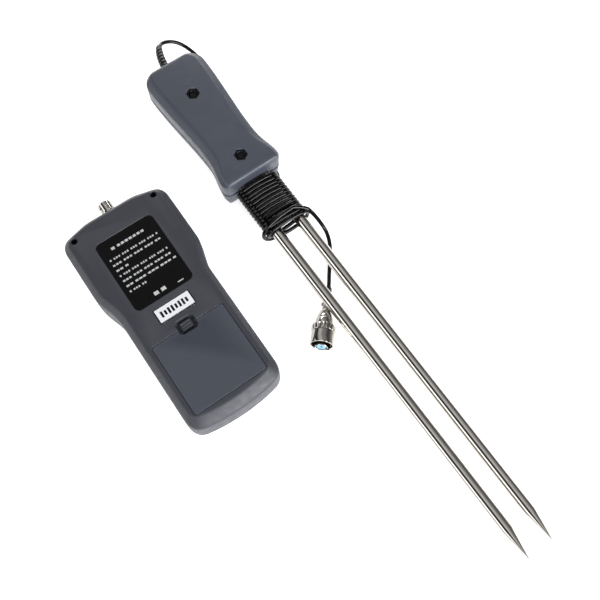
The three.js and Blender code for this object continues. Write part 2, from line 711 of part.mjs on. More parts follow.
function plugFerrule() {
  return turned([
    [0, 12.2], [4.2, 12.2], [4.2, -1.3], [3.7, -1.3], [3.7, 10.6], [0, 10.6],
  ].reverse());
}

function plugClamp() {
  const collar = rod(0, 0, 27.5, 31.4, 2.5, 12);
  const ears = box(-3.6, 3.6, 28.6, 31, -0.6, 0.6);
  return joined(collar, ears);
}

function plug() {
  const group = new THREE.Group();
  group.position.copy(PLUG_PLACE);
  group.rotation.set(-PLUG_TILT, 0, PLUG_TURN, 'ZXY');
  group.add(
    piece('coupling_nut', couplingNut(), nickel),
    piece('plug_shell', plugShell(), nickel),
    piece('plug_ferrule', plugFerrule(), nickel),
    piece('plug_insulator', ring(0.9, 3.3, -0.9, 10.2, 12), whitePlastic),
    piece('plug_contact', rod(0, 0, 0.6, 10.2, 0.55, 8), brass),
    piece('plug_clamp', plugClamp(), nickel),
    piece('plug_sleeve', turned([[0, 31.7], [2.1, 31.7], [2.1, 40.6], [1.8, PLUG_LENGTH], [0, PLUG_LENGTH]], 12),
      blackRubber));
  return group;
}

// ---------------------------------------------------------------- assembly

function meter() {
  const group = new THREE.Group();
  group.add(
    piece('front_case', frontCase(), greyPlastic),
    piece('rear_case', rearCase(), greyPlastic),
    piece('display_window', prism(plateOutline(WINDOW, -GAP), 0.4, 1.7), clearWindow),
    piece('lcd_module', box(-26.5, 26.5, 27.5, 63.5, 3.7, BOARD_Z - GAP), displayGlass),
    piece('main_board', mainBoard(), boardGreen),
    piece('key_mat', keyMat(), siliconeMat),
    piece('battery_contact_top', batteryContact(BAY.top - GAP - 0.25, -1), springSteel),
    piece('battery_contact_bottom', batteryContact(BAY.bottom + GAP + 0.25, 1), springSteel));
  for (const [name, place] of Object.entries(KEYS)) group.add(piece(name, keyCap(place), keyRubber));
  for (const [name, place] of Object.entries(SCREWS)) {
    group.add(piece(`case_screw_${name}`, caseScrew(place), blackScrew));
  }
  for (let i = 0; i < 4; i++) group.add(piece(`battery_cell_${i + 1}`, batteryCell(i), cellJacket));
  const back = new THREE.Group();
  back.applyMatrix4(backFrame);
  back.add(
    piece('back_label', prism(plateOutline(LABEL), GAP - RECESS, GAP - RECESS + PLATE), labelBlack),
    piece('serial_sticker', prism(plateOutline(STICKER), GAP - RECESS, GAP - RECESS + PLATE), stickerSilver),
    piece('battery_door', batteryDoor(), greyPlastic),
    piece('door_latch', doorLatch(), keyRubber));
  group.add(back, socketPieces());
  return group;
}

const set = new THREE.Group();
set.add(
  meter(),
  probe(),
  plug(),
  piece('cord_tail', tube(TAIL_ROUTE, CORD / 2, 40), blackCord),
  piece('cord_lead', tube(LEAD_ROUTE, CORD / 2, 20), blackCord));

export default set;
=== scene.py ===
"""Grain moisture meter: a hand-held meter lying on its front and its two-pin probe beside it, in the frame
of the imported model. Sizes are in millimetres until a mesh is made, and then in metres."""

import math

import bpy
from mathutils import Matrix, Vector


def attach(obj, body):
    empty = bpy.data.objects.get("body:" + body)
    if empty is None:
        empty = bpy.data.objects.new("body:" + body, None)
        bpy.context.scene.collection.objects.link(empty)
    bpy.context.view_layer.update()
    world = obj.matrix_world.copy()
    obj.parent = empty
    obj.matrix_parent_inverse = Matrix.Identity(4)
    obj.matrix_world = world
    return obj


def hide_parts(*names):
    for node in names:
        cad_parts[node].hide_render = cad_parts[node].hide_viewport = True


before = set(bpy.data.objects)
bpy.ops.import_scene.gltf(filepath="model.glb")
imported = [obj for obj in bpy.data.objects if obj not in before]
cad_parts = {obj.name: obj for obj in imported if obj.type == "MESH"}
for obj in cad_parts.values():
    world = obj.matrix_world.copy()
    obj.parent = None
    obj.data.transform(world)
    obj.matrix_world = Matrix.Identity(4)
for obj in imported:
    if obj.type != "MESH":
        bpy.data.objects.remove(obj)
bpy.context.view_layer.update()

MM = 0.001
UP = Matrix.Identity(4)

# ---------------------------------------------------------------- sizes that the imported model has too

GAP = 0.3
HEAD_HALF = 38.6
GRIP_HALF = 33.2
TOP_END = 79.5
BOTTOM_END = -79.6
PARTING = 13
BACK_MID = 30
BACK_SLOPE = 0.038
WALL = 2.2
CHAMFER = 4.6
CHAMFER_DROP = 5
BOTTOM_BEVEL = 3

DOOR = {"half": 25.6, "top": -18.7, "bottom": -68.4, "thickness": 2}
DOOR_GAP = 0.35
HOOKS = (-13, 13)
BAY = {"half": 25, "top": -20, "bottom": -67.6, "floor": 13.2}
LATCH = {"half": 6.7, "top": -12.6, "bottom": -22.8, "depth": 3.5, "corner": 1.9}
LABEL = {"half": 20.7, "top": 58.9, "bottom": 6.1, "radius": 3.4}
STICKER = {"half": 12.7, "top": 1.2, "bottom": -9, "radius": 0.8}
RECESS = 0.8
PLATE_TOP = -0.1
SCREWS = ((-29.4, 69.6), (29.4, 69.6))
HEAD_SEAT = 20

SOCKET_Z = 20
SOCKET_MOUTH = 88.8
STUD_TURN = math.radians(40)

WINDOW = {"half": 27, "top": 64, "bottom": 28, "radius": 3}
KEY_SIZE = (18, 9.5, 3)
KEYS = {"key_up": (-13, 11), "key_down": (13, 11), "key_mode": (-13, -5), "key_hold": (13, -5),
        "key_power": (0, -22)}

HANDLE_LENGTH = 105.1
HANDLE_TOP = 16
HANDLE_BOTTOM = 17
HANDLE_SPLIT = 2
FOOT = 6.2
BLOCK_RIBS = (26.5, 40.5)
BOLTS = {"front": 15.6, "rear": 73.2}
NUT_FLAT = 8
POCKET_FLAT = 8.3
NUT_TOP = 14.8

PIN_RADIUS = 4
PIN_X = 9.15
WRAP_BOW = 1.1              # how far the lead bows outwards between the pins
PIN_REACH = 294.8
PIN_CONE = 21.5
PIN_INSIDE = 50

CORD = 2.8
TURN_RADIUS = 5.75
WRAP_START = -1.75
WRAP_PITCH = 2.84
WRAP_TURNS = 11

BOOT_LENGTH = 27.5
NUT_RADIUS = 8
NUT_LENGTH = 14
PLUG_LENGTH = 42.8

PROBE_YAW = math.radians(1)
PROBE_TILT = math.atan((HANDLE_BOTTOM - PIN_RADIUS) / (PIN_REACH - PIN_CONE + FOOT))
PLUG_TURN = math.radians(-42.7)
PLUG_TILT = math.radians(8.4)


def placed(x, y, z, turn, tilt):
    """The frame of a group that is tilted about X, then turned about Z, then moved."""
    return Matrix.Translation((x, y, z)) @ Matrix.Rotation(turn, 4, "Z") @ Matrix.Rotation(tilt, 4, "X")


BACK = placed(0, 0, BACK_MID, 0, math.atan(BACK_SLOPE))
SOCKET = placed(0, 0, SOCKET_Z, 0, 0)
PROBE = placed(
    93, 46.5, HANDLE_BOTTOM * math.cos(PROBE_TILT) - FOOT * math.sin(PROBE_TILT), PROBE_YAW, PROBE_TILT)
PLUG = placed(
    63.9, -72.4, NUT_RADIUS * math.cos(PLUG_TILT) + NUT_LENGTH * math.sin(PLUG_TILT), PLUG_TURN, -PLUG_TILT)


# ---------------------------------------------------------------- camera, floor and lights

CAMERA_AZIMUTH = math.radians(-35.1)
CAMERA_ELEVATION = math.radians(70)
CAMERA_DISTANCE = 479.3
CAMERA_TARGET = Vector((72.6, -36.2, 0))


def make_camera():
    """A camera at the angle of the photograph."""
    data = bpy.data.cameras.new("camera")
    data.lens = 43.1
    data.sensor_width = 36
    data.clip_start = 0.01
    camera = bpy.data.objects.new("camera", data)
    flat = math.cos(CAMERA_ELEVATION)
    back = Vector((
        math.sin(CAMERA_AZIMUTH) * flat, -math.cos(CAMERA_AZIMUTH) * flat, math.sin(CAMERA_ELEVATION)))
    camera.location = (CAMERA_TARGET + back * CAMERA_DISTANCE) * MM
    camera.rotation_mode = "QUATERNION"
    camera.rotation_quaternion = (-back).to_track_quat("-Z", "Y")
    bpy.context.collection.objects.link(camera)
    bpy.context.scene.camera = camera


def softbox(name, place, target, width, height, power, colour=(1, 1, 1)):
    """A rectangular lamp that faces a point. Places and sizes are in millimetres."""
    data = bpy.data.lights.new(name, "AREA")
    data.shape = "RECTANGLE"
    data.size = width * MM
    data.size_y = height * MM
    data.energy = power
    data.color = colour
    lamp = bpy.data.objects.new(name, data)
    lamp.location = Vector(place) * MM
    lamp.rotation_mode = "QUATERNION"
    lamp.rotation_quaternion = (Vector(target) - Vector(place)).to_track_quat("-Z", "Y")
    bpy.context.collection.objects.link(lamp)


def make_world():
    """A studio whose brightness changes round the Y axis: from the right horizon, over the top, to the
    left."""
    world = bpy.data.worlds.new("room")
    world.use_nodes = True
    tree = world.node_tree
    background = tree.nodes["Background"]
    direction = tree.nodes.new("ShaderNodeSeparateXYZ")
    tree.links.new(tree.nodes.new("ShaderNodeTexCoord").outputs["Generated"], direction.inputs[0])
    turn = tree.nodes.new("ShaderNodeMath")
    turn.operation = "ARCTAN2"
    tree.links.new(direction.outputs["Z"], turn.inputs[0])
    tree.links.new(direction.outputs["X"], turn.inputs[1])
    share = tree.nodes.new("ShaderNodeMath")
    share.operation = "DIVIDE"
    share.inputs[1].default_value = math.pi
    tree.links.new(turn.outputs[0], share.inputs[0])
    ramp = tree.nodes.new("ShaderNodeValToRGB")
    tree.links.new(share.outputs[0], ramp.inputs[0])
    tree.links.new(ramp.outputs[0], background.inputs["Color"])
    bands = ((0.0, 0.6), (0.06, 0.16), (0.18, 0.08), (0.27, 0.32), (0.38, 0.42), (0.44, 0.88), (0.52, 0.76),
             (0.58, 0.28), (0.63, 0.02), (0.72, 0.03), (0.93, 0.2), (1.0, 0.35))
    stops = ramp.color_ramp.elements
    while len(stops) < len(bands):
        stops.new(1.0)
    for stop, (place, level) in zip(stops, bands):
        stop.position = place
        stop.color = (level, level, level * 1.02, 1)
    background.inputs["Strength"].default_value = 1.0
    bpy.context.scene.world = world


def make_stage():
    """The pale floor, the lamps and the room."""
    mesh = bpy.data.meshes.new("floor")
    side = 3.0
    mesh.from_pydata(
        [(-side, -side, -0.0002), (side, -side, -0.0002), (side, side, -0.0002), (-side, side, -0.0002)],
        [], [(0, 1, 2, 3)])
    floor = bpy.data.objects.new("floor", mesh)
    bpy.context.collection.objects.link(floor)
    mesh.materials.append(floor_paint())
    softbox("lamp_left", (-830, 40, 545), (60, 0, 0), 2800, 460, 9)
    softbox("lamp_front", (200, -900, 330), (60, 0, 0), 900, 260, 16)
    softbox("lamp_back", (520, 900, 330), (60, 0, 0), 900, 300, 7)
    make_world()
    bpy.context.scene.view_settings.view_transform = "Standard"


# ---------------------------------------------------------------- materials

def linear(red, green, blue):
    """A colour for a shader from the eight-bit numbers that a screen shows."""
    def one(value):
        part = value / 255
        return part / 12.92 if part <= 0.04045 else ((part + 0.055) / 1.055) ** 2.4
    return (one(red), one(green), one(blue), 1)


class Paint:
    """A material under construction."""

    def __init__(self, name):
        self.material = bpy.data.materials.new(name)
        self.material.use_nodes = True
        self.tree = self.material.node_tree
        self.shader = self.tree.nodes["Principled BSDF"]
        self.place = self.tree.nodes.new("ShaderNodeTexCoord").outputs["Object"]

    def node(self, kind, settings=None, **inputs):
        """Adds a node. An input is a number, a colour or another node's output."""
        made = self.tree.nodes.new("ShaderNode" + kind)
        for key, value in (settings or {}).items():
            setattr(made, key, value)
        for key, value in inputs.items():
            socket = (made.inputs[key.replace("_", " ")] if not key.startswith("i")
                      else made.inputs[int(key[1:])])
            self.give(socket, value)
        return made

    def give(self, socket, value):
        if isinstance(value, bpy.types.NodeSocket):
            self.tree.links.new(value, socket)
        else:
            socket.default_value = value

    def set(self, **inputs):
        """Sets the main shader's inputs."""
        for key, value in inputs.items():
            self.give(self.shader.inputs[key.replace("_", " ")], value)

    def noise(self, scale, detail=3.0, roughness=0.55, stretch=None, turn=(0, 0, 0)):
        """Noise with this many features to the metre. stretch multiplies the scale along each axis."""
        where = self.place
        if stretch:
            where = self.node("Mapping", i0=self.place, Rotation=turn, Scale=stretch).outputs[0]
        return self.node("TexNoise", Vector=where, Scale=scale, Detail=detail, Roughness=roughness).outputs[0]

    def spread(self, value, low, high, start=0.3, end=0.7):
        """Maps a value from start and end to low and high."""
        return self.node("MapRange", Value=value, From_Min=start, From_Max=end, To_Min=low,
                         To_Max=high).outputs[0]

    def mixed(self, factor, first, second):
        """A colour between two."""
        made = self.node("Mix", {"data_type": "RGBA"})
        self.give(made.inputs[0], factor)
        self.give(made.inputs[6], first)
        self.give(made.inputs[7], second)
        return made.outputs[2]

    def bump(self, height, strength, depth, under=None):
        """Relief of a depth in millimetres."""
        made = self.node("Bump", Strength=strength, Distance=depth * MM, Height=height)
        if under:
            self.give(made.inputs["Normal"], under)
        return made.outputs[0]

    def edges(self, low, high):
        """From 0 to 1 where the surface is convex."""
        pointiness = self.node("NewGeometry").outputs["Pointiness"]
        return self.spread(pointiness, 0.0, 1.0, low, high)


def floor_paint():
    paint = Paint("floor_white")
    tone = paint.mixed(paint.noise(6), linear(250, 250, 251), linear(254, 254, 254))
    paint.set(Base_Color=tone, Roughness=0.9)
    paint.set(Specular_IOR_Level=0.1, Emission_Color=(1, 1, 1, 1), Emission_Strength=0.68)
    return paint.material


def moulded(name, colour, worn, rough=0.5, grain=2600, relief=0.03):
    """Moulded plastic with a fine spark-eroded grain, slight mottling and paler rubbed edges."""
    paint = Paint(name)
    mottled = paint.mixed(paint.spread(paint.noise(45, 4), 0.0, 1.0), colour,
                          [c * 1.13 for c in colour[:3]] + [1])
    rubbed = paint.node("Math", {"operation": "MULTIPLY"}, i0=paint.edges(0.52, 0.62), i1=0.45).outputs[0]
    scuffs = paint.spread(paint.noise(160, 6, 0.7), 0.0, 0.22, 0.62, 0.8)
    wear = paint.node("Math", {"operation": "MAXIMUM"}, i0=rubbed, i1=scuffs).outputs[0]
    paint.set(Base_Color=paint.mixed(wear, mottled, worn))
    paint.set(Roughness=paint.spread(paint.noise(220, 5), rough - 0.07, rough + 0.08))
    fine = paint.bump(paint.noise(grain, 2, 0.6), 0.35, relief)
    paint.set(Normal=paint.bump(paint.noise(grain * 0.22, 2), 0.12, relief * 2, fine))
    paint.set(Specular_IOR_Level=0.42)
    return paint.material


def soft_rubber(name, colour, rough=0.62):
    """Rubber with a dusty bloom."""
    paint = Paint(name)
    bloom = paint.spread(paint.noise(320, 5), 0.0, 0.5)
    paint.set(Base_Color=paint.mixed(bloom, colour, [c * 1.7 + 0.004 for c in colour[:3]] + [1]))
    paint.set(Roughness=paint.spread(paint.noise(500, 4), rough - 0.1, rough + 0.1))
    paint.set(Normal=paint.bump(paint.noise(3600, 2), 0.25, 0.02))
    return paint.material


def cord_vinyl():
    """Glossy black flexible vinyl."""
    paint = Paint("cord_vinyl")
    dust = paint.spread(paint.noise(260, 5), 0.0, 0.4, 0.5, 0.8)
    paint.set(Base_Color=paint.mixed(dust, linear(4, 4, 4), linear(10, 10, 10)))
    paint.set(Roughness=paint.spread(paint.noise(420, 4), 0.07, 0.14))
    paint.set(Normal=paint.bump(paint.noise(500, 2), 0.05, 0.02))
    paint.set(Specular_IOR_Level=0.24)
    return paint.material


def polished(name, colour, rough, streak_axis=None, turn=(0, 0, 0), tarnish=0.25):
    """Plated or polished metal. Streaks run along one axis, where there is one."""
    paint = Paint(name)
    stretch = (1, 1, 1)
    if streak_axis == "Y":
        stretch = (1, 0.012, 1)
    streaks = paint.noise(1500, 3, 0.6, stretch, turn)
    cloud = paint.spread(paint.noise(130, 5), 0.0, tarnish)
    dull = [c * 0.72 for c in colour[:3]] + [1]
    paint.set(Base_Color=paint.mixed(cloud, colour, dull), Metallic=1.0)
    paint.set(Roughness=paint.spread(streaks, rough * 0.7, rough * 1.45))
    paint.set(Normal=paint.bump(streaks, 0.12, 0.012))
    return paint.material


def glazed(name, colour, rough=0.12, clear=0.0):
    """Smooth plastic or glass."""
    paint = Paint(name)
    paint.set(Base_Color=paint.mixed(paint.spread(paint.noise(90, 3), 0, 0.3), colour,
                                     [c * 0.9 for c in colour[:3]] + [1]))
    paint.set(Roughness=paint.spread(paint.noise(300, 3), rough * 0.8, rough * 1.3))
    paint.set(Transmission_Weight=clear)
    return paint.material


def printed_film(name, colour, rough=0.4):
    """The surface of a printed label, with a faint orange peel."""
    paint = Paint(name)
    paint.set(Base_Color=paint.mixed(paint.spread(paint.noise(180, 4), 0, 0.5), colour,
                                     [c * 1.25 + 0.001 for c in colour[:3]] + [1]))
    paint.set(Roughness=paint.spread(paint.noise(600, 3), rough - 0.05, rough + 0.06))
    paint.set(Normal=paint.bump(paint.noise(1100, 2), 0.08, 0.02), Specular_IOR_Level=0.08)
    return paint.material


def brushed_foil(name, colour):
    """Satin silver foil, brushed across."""
    paint = Paint(name)
    brush = paint.noise(2600, 3, 0.6, (0.03, 1, 1))
    paint.set(Base_Color=paint.mixed(paint.spread(brush, 0, 0.35), colour,
                                     [c * 0.8 for c in colour[:3]] + [1]))
    paint.set(Metallic=0.35, Roughness=paint.spread(brush, 0.34, 0.5))
    return paint.material


def board_paint():
    """Green solder mask over copper tracks."""
    paint = Paint("circuit_board")
    tracks = paint.node("TexBrick", Vector=paint.place, Scale=260.0, Color1=(0, 0, 0, 1), Color2=(0, 0, 0, 1),
                        Mortar=(1, 1, 1, 1)).outputs[0]
    paint.set(Base_Color=paint.mixed(tracks, linear(24, 84, 52), linear(52, 128, 74)))
    paint.set(Roughness=0.35)
    return paint.material


PAINTS = {
    "case": moulded("case_plastic", linear(45, 47, 54), linear(104, 106, 110)),
    "door": moulded("door_plastic", linear(44, 48, 58), linear(100, 104, 112)),
    "handle": moulded("handle_plastic", linear(60, 64, 74), linear(118, 122, 128), 0.4),
    "latch": moulded("latch_plastic", linear(48, 51, 58), linear(104, 107, 112), 0.4),
    "key": soft_rubber("key_rubber", linear(40, 42, 46)),
    "boot": soft_rubber("boot_rubber", linear(8, 8, 9), 0.4),
    "mat": soft_rubber("key_silicone", linear(190, 192, 194)),
    "cord": cord_vinyl(),
    "pin": polished("pin_steel", linear(200, 196, 190), 0.085, "Y", (0, 0, -PROBE_YAW)),
    "nickel": polished("nickel_plate", linear(180, 177, 170), 0.1),
    "spring": polished("spring_steel", linear(170, 172, 174), 0.3),
    "brass": polished("contact_brass", linear(214, 176, 96), 0.22),
    "black_steel": polished("black_oxide", linear(38, 38, 40), 0.42),
    "label": printed_film("label_film", linear(7, 7, 7), 0.5),
    "print": printed_film("label_ink", linear(176, 177, 179), 0.5),
    "foil": brushed_foil("sticker_foil", linear(236, 238, 241)),
    "ink": printed_film("sticker_ink", linear(18, 18, 20), 0.5),
    "window": glazed("window_acrylic", linear(40, 44, 46), 0.06, 0.85),
    "display": glazed("display_glass", linear(158, 168, 148), 0.2),
    "white": glazed("insulator_plastic", linear(226, 236, 240), 0.25),
    "blue": glazed("insulator_face", linear(108, 156, 180), 0.2),
    "board": board_paint(),
    "cell": glazed("cell_jacket", linear(34, 84, 150), 0.25),
    "wire": glazed("wire_jacket", linear(150, 44, 36), 0.35),
    "block": moulded("clamp_plastic", linear(40, 42, 45), linear(80, 82, 84)),
}


# ---------------------------------------------------------------- curves and outlines, in millimetres

def quad(a, b, c, steps=10):
    """Points on a quadratic curve, without the first."""
    def at(t):
        return tuple((1 - t) ** 2 * a[i] + 2 * t * (1 - t) * b[i] + t * t * c[i] for i in range(2))
    return [at(k / steps) for k in range(1, steps + 1)]


def cubic(a, b, c, d, steps=14):
    """Points on a cubic curve, without the first."""
    def at(t):
        s = 1 - t
        return tuple(s ** 3 * a[i] + 3 * s * s * t * b[i] + 3 * s * t * t * c[i] + t ** 3 * d[i]
                     for i in range(2))
    return [at(k / steps) for k in range(1, steps + 1)]


def arc(x, y, radius, start, end, steps=10):
    """Points on an arc, in degrees."""
    def at(k):
        turn = math.radians(start + (end - start) * k / steps)
        return (x + radius * math.cos(turn), y + radius * math.sin(turn))
    return [at(k) for k in range(steps + 1)]


def mirrored(half):
    """A closed outline from its right half."""
    return half + [(-x, y) for x, y in reversed(half) if x > 1e-6]


def rounded(x0, x1, y0, y1, radius, steps=6):
    """A rectangle with round corners."""
    return (arc(x1 - radius, y0 + radius, radius, -90, 0, steps)
            + arc(x1 - radius, y1 - radius, radius, 0, 90, steps)
            + arc(x0 + radius, y1 - radius, radius, 90, 180, steps)
            + arc(x0 + radius, y0 + radius, radius, 180, 270, steps))


def plate(size, grow=0.0):
    """The outline of a label or window, larger by grow all round."""
    return rounded(-size["half"] - grow, size["half"] + grow, size["bottom"] - grow, size["top"] + grow,
                   max(size["radius"] + grow, 0.1))


def inset(outline, distance):
    """The outline moved inwards."""
    made = []
    for i, point in enumerate(outline):
        here = Vector(point)
        before = (here - Vector(outline[i - 1])).normalized()
        after = (Vector(outline[(i + 1) % len(outline)]) - here).normalized()
        normal = Vector((-after.y, after.x))
        middle = (Vector((-before.y, before.x)) + normal).normalized()
        made.append(tuple(here + middle * (distance / middle.dot(normal))))
    return made


def at_height(outline, height):
    """A ring of points. The height is a number or a function of y."""
    return [(x, y, height(y) if callable(height) else height) for x, y in outline]


def case_outline(inward=0.0, lift=0.0):
    """The meter's outline, moved inwards. lift also moves its far end in."""
    low = BOTTOM_END + inward + lift
    high = TOP_END - inward
    grip = GRIP_HALF - inward
    head = HEAD_HALF - inward
    side = (26 - 0.85 * inward, low + 2.6 - 0.1 * inward)
    shoulder = (32 - 0.8 * inward, high - 3.5 + 0.25 * inward)
    crest = (21 - 0.3 * inward, high - 0.7)
    half = [(0, low)] + quad((0, low), (14, low), side)
    half += quad(side, (grip, low + 4.6 - 0.3 * inward), (grip, low + 13.6 - inward))
    half += [(grip, -40), (grip, 6)]
    half += cubic((grip, 6), (grip, 16), (head, 23), (head, 32))
    half += [(head, high - 13.5 + inward)]
    half += quad(half[-1], (head, high - 5.3 + 0.35 * inward), shoulder)
    half += [crest] + quad(crest, (18 - 0.3 * inward, high), (14 - 0.3 * inward, high), 6)
    return mirrored(half)


def under(depth):
    """The height of a surface that lies this far under the back face, as a function of y."""
    return lambda y: BACK_MID + BACK_SLOPE * y - depth


def fillet(corner, before, after, reach, steps=5):
    """Points that round the corner of a profile."""
    c, b, a = Vector(corner), Vector(before), Vector(after)
    start = c + (b - c).normalized() * reach
    end = c + (a - c).normalized() * reach
    return [tuple(start)] + quad(tuple(start), tuple(c), tuple(end), steps)


def oval(x, y, across, along, start, end, steps):
    """Points on a quarter of an oval, in degrees."""
    def at(k):
        turn = math.radians(start + (end - start) * k / steps)
        return (x + across * math.cos(turn), y + along * math.sin(turn))
    return [at(k) for k in range(steps + 1)]


def handle_outline(side=0.0, front=None, rear=None, corner=None):
    """The outline of the probe's handle, with its sides, ends and front corners moved inwards."""
    front = side if front is None else front
    rear = side if rear is None else rear
    corner = side if corner is None else corner
    waist, nose, tail = 19.2 - side, 22.6 - corner, 22.8 - side
    nose_x, nose_y = max(4.8 - side, 2), max(4.8 - front, 2)
    tail_x, tail_y = max(10.6 - side, 3), max(10.6 - rear, 3)
    end = HANDLE_LENGTH - rear
    low, high = front + nose_y, end - tail_y
    half = oval(nose - nose_x, low, nose_x, nose_y, -90, 0, 10)
    half += cubic((nose, low), (nose, low + 8), (waist, 17), (waist, 29), 18)
    half += cubic((waist, 29), (waist, 50), (tail, 72), (tail, high), 24)
    half += oval(tail - tail_x, high, tail_x, tail_y, 0, 90, 14)[1:]
    return mirrored(half)


# ---------------------------------------------------------------- meshes

def solid(name, points, faces, paint, matrix=UP):
    """An object from points in millimetres in a piece's own frame."""
    mesh = bpy.data.meshes.new(name)
    mesh.from_pydata([matrix @ Vector(p) * MM for p in points], [], faces)
    mesh.validate()
    made = bpy.data.objects.new(name, mesh)
    bpy.context.collection.objects.link(made)
    mesh.materials.append(PAINTS[paint])
    return made


def loft(name, rings, paint, matrix=UP, closed=False):
    """A closed solid through rings of equal numbers of points. closed joins the last ring to the first."""
    count = len(rings[0])
    points = [p for ring in rings for p in ring]
    faces = []
    for k in range(len(rings) if closed else len(rings) - 1):
        low, high = k * count, (k + 1) % len(rings) * count
        for i in range(count):
            j = (i + 1) % count
            faces.append((low + i, low + j, high + j, high + i))
    if not closed:
        faces.append(tuple(reversed(range(count))))
        faces.append(tuple(range(len(points) - count, len(points))))
    return solid(name, points, faces, paint, matrix)


def turned(name, profile, paint, matrix=UP, sides=48, closed=False):
    """A piece turned about its own Y axis, from (radius, y) pairs. closed joins the last pair to the
    first."""
    rings = []
    for radius, y in profile:
        ring = []
        for k in range(sides):
            turn = -2 * math.pi * k / sides
            ring.append((radius * math.sin(turn), y, radius * math.cos(turn)))
        rings.append(ring)
    return loft(name, rings, paint, matrix, closed)


def upright(x, y, radius, sides=32):
    """A circle for a loft along Z."""
    return [(x + radius * math.cos(2 * math.pi * k / sides), y + radius * math.sin(2 * math.pi * k / sides))
            for k in range(sides)]


def hexagon(y, flat):
    """A regular hexagon with corners along the Y axis."""
    radius = flat / math.sqrt(3)
    return [(radius * math.sin(math.radians(-60 * k)), y + radius * math.cos(math.radians(-60 * k)))
            for k in range(6)]


def column(outline, *levels):
    """The rings of a straight piece: pairs of height and how far the outline is moved inwards there."""
    return [at_height(inset(outline, inward) if inward else outline, height) for height, inward in levels]


def block(name, x0, x1, y0, y1, z0, z1, paint, matrix=UP):
    """A plain box, for cutting with and for small parts that are bevelled later."""
    outline = [(x0, y0), (x1, y0), (x1, y1), (x0, y1)]
    return loft(name, column(outline, (z0, 0), (z1, 0)), paint, matrix)


def apply_modifiers(made):
    """Gives the object the mesh that its modifiers make."""
    graph = bpy.context.evaluated_depsgraph_get()
    mesh = bpy.data.meshes.new_from_object(made.evaluated_get(graph))
    old = made.data
    made.modifiers.clear()
    made.data = mesh
    bpy.data.meshes.remove(old)


def combine(made, others, operation):
    """Joins other objects to this one or cuts them out of it, and removes them."""
    for other in others:
        step = made.modifiers.new("step", "BOOLEAN")
        step.object = other
        step.operation = operation
        step.solver = "EXACT"
        apply_modifiers(made)
        bpy.data.objects.remove(other)
    return made


def cut(made, *others):
    return combine(made, others, "DIFFERENCE")


def join(made, *others):
    return combine(made, others, "UNION")


def soften(made, width, steps=3, angle=35):
    """Rounds the sharp edges."""
    step = made.modifiers.new("soften", "BEVEL")
    step.width = width * MM
    step.segments = steps
    step.limit_method = "ANGLE"
    step.angle_limit = math.radians(angle)
    step.use_clamp_overlap = True
    apply_modifiers(made)
    return made


def finish(made, body, nodes=(), angle=32):
    """Smooths the shading, and gives the piece its body and the nodes that it stands for."""
    made.data.shade_smooth()
    made.data.set_sharp_from_angle(angle=math.radians(angle))
    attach(made, body)
    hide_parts(*nodes)
    return made


# ---------------------------------------------------------------- the lead

# From the boot, down onto the surface, along the handle's far side, and in under the first turn.
TAIL_ROUTE = (
    (97.6, 178.4, 18.9), (99.9, 180.9, 17.8), (101.9, 182.0, 17.1), (105.2, 182.4, 15.8),
    (109.2, 181.7, 14.0),
    (113.1, 180.0, 11.6), (116.4, 177.4, 8.6), (119.0, 174.2, 5.6), (120.9, 170.0, 3.2), (121.6, 164.5, 1.9),
    (121.0, 158, 1.5), (118.8, 146, 1.5), (116.6, 132, 1.5), (114.8, 118, 1.5), (113.6, 104, 1.5),
    (112.6, 90, 1.5), (112.4, 76, 1.5), (113.4, 65, 1.5), (114.3, 56.5, 1.5), (113.5, 49.4, 1.8),
    (110.4, 45.6, 3.6), (106.6, 44.6, 6.8))

# From the last loose turn, down onto the surface, under the right pin and into the plug.
LEAD_ROUTE = (
    (110.4, 8.0, 19.2), (112.3, 2.8, 15.6), (113.7, -3.0, 11.1), (114.2, -8.4, 6.6), (113.0, -13.4, 3.2),
    (110.2, -18.6, 1.7), (106.4, -23.8, 1.5), (102.2, -28.9, 1.6), (98.4, -33.6, 2.3), (95.5, -37.4, 3.3),
    (93.2, -40.2, 4.1), (89.7, -44.0, 4.9))


def smooth_path(points, steps=10):
    """A Catmull-Rom curve through the points."""
    knots = [Vector(p) for p in points]
    knots = [knots[0] * 2 - knots[1]] + knots + [knots[-1] * 2 - knots[-2]]
    path = []
    for a, b, c, d in zip(knots, knots[1:], knots[2:], knots[3:]):
        for k in range(steps):
            t = k / steps
            path.append(0.5 * (2 * b + (c - a) * t + (2 * a - 5 * b + 4 * c - d) * t * t
                               + (3 * b - a - 3 * c + d) * t ** 3))
    path.append(knots[-2])
    return path


def round_pins(part, radius):
    """A point on the line round both pins. part runs from 0 to 1 in each turn, from under the right pin to
    the left, over the top, and down on the right. The lead bows outwards between the pins."""
    straight = 2 * PIN_X

    def bowed(x):
        return radius + WRAP_BOW * (1 - (x / PIN_X) ** 2)

    curve = math.pi * radius
    along = (part % 1) * 2 * (straight + curve)
    if along < straight:
        return (PIN_X - along, -bowed(PIN_X - along))
    along -= straight
    if along < curve:
        turn = along / radius
        return (-PIN_X - radius * math.sin(turn), -radius * math.cos(turn))
    along -= curve
    if along < straight:
        return (-PIN_X + along, bowed(-PIN_X + along))
    turn = (along - straight) / radius
    return (PIN_X + radius * math.sin(turn), radius * math.cos(turn))


def ease(t):
    t = min(max(t, 0.0), 1.0)
    return t * t * (3 - 2 * t)


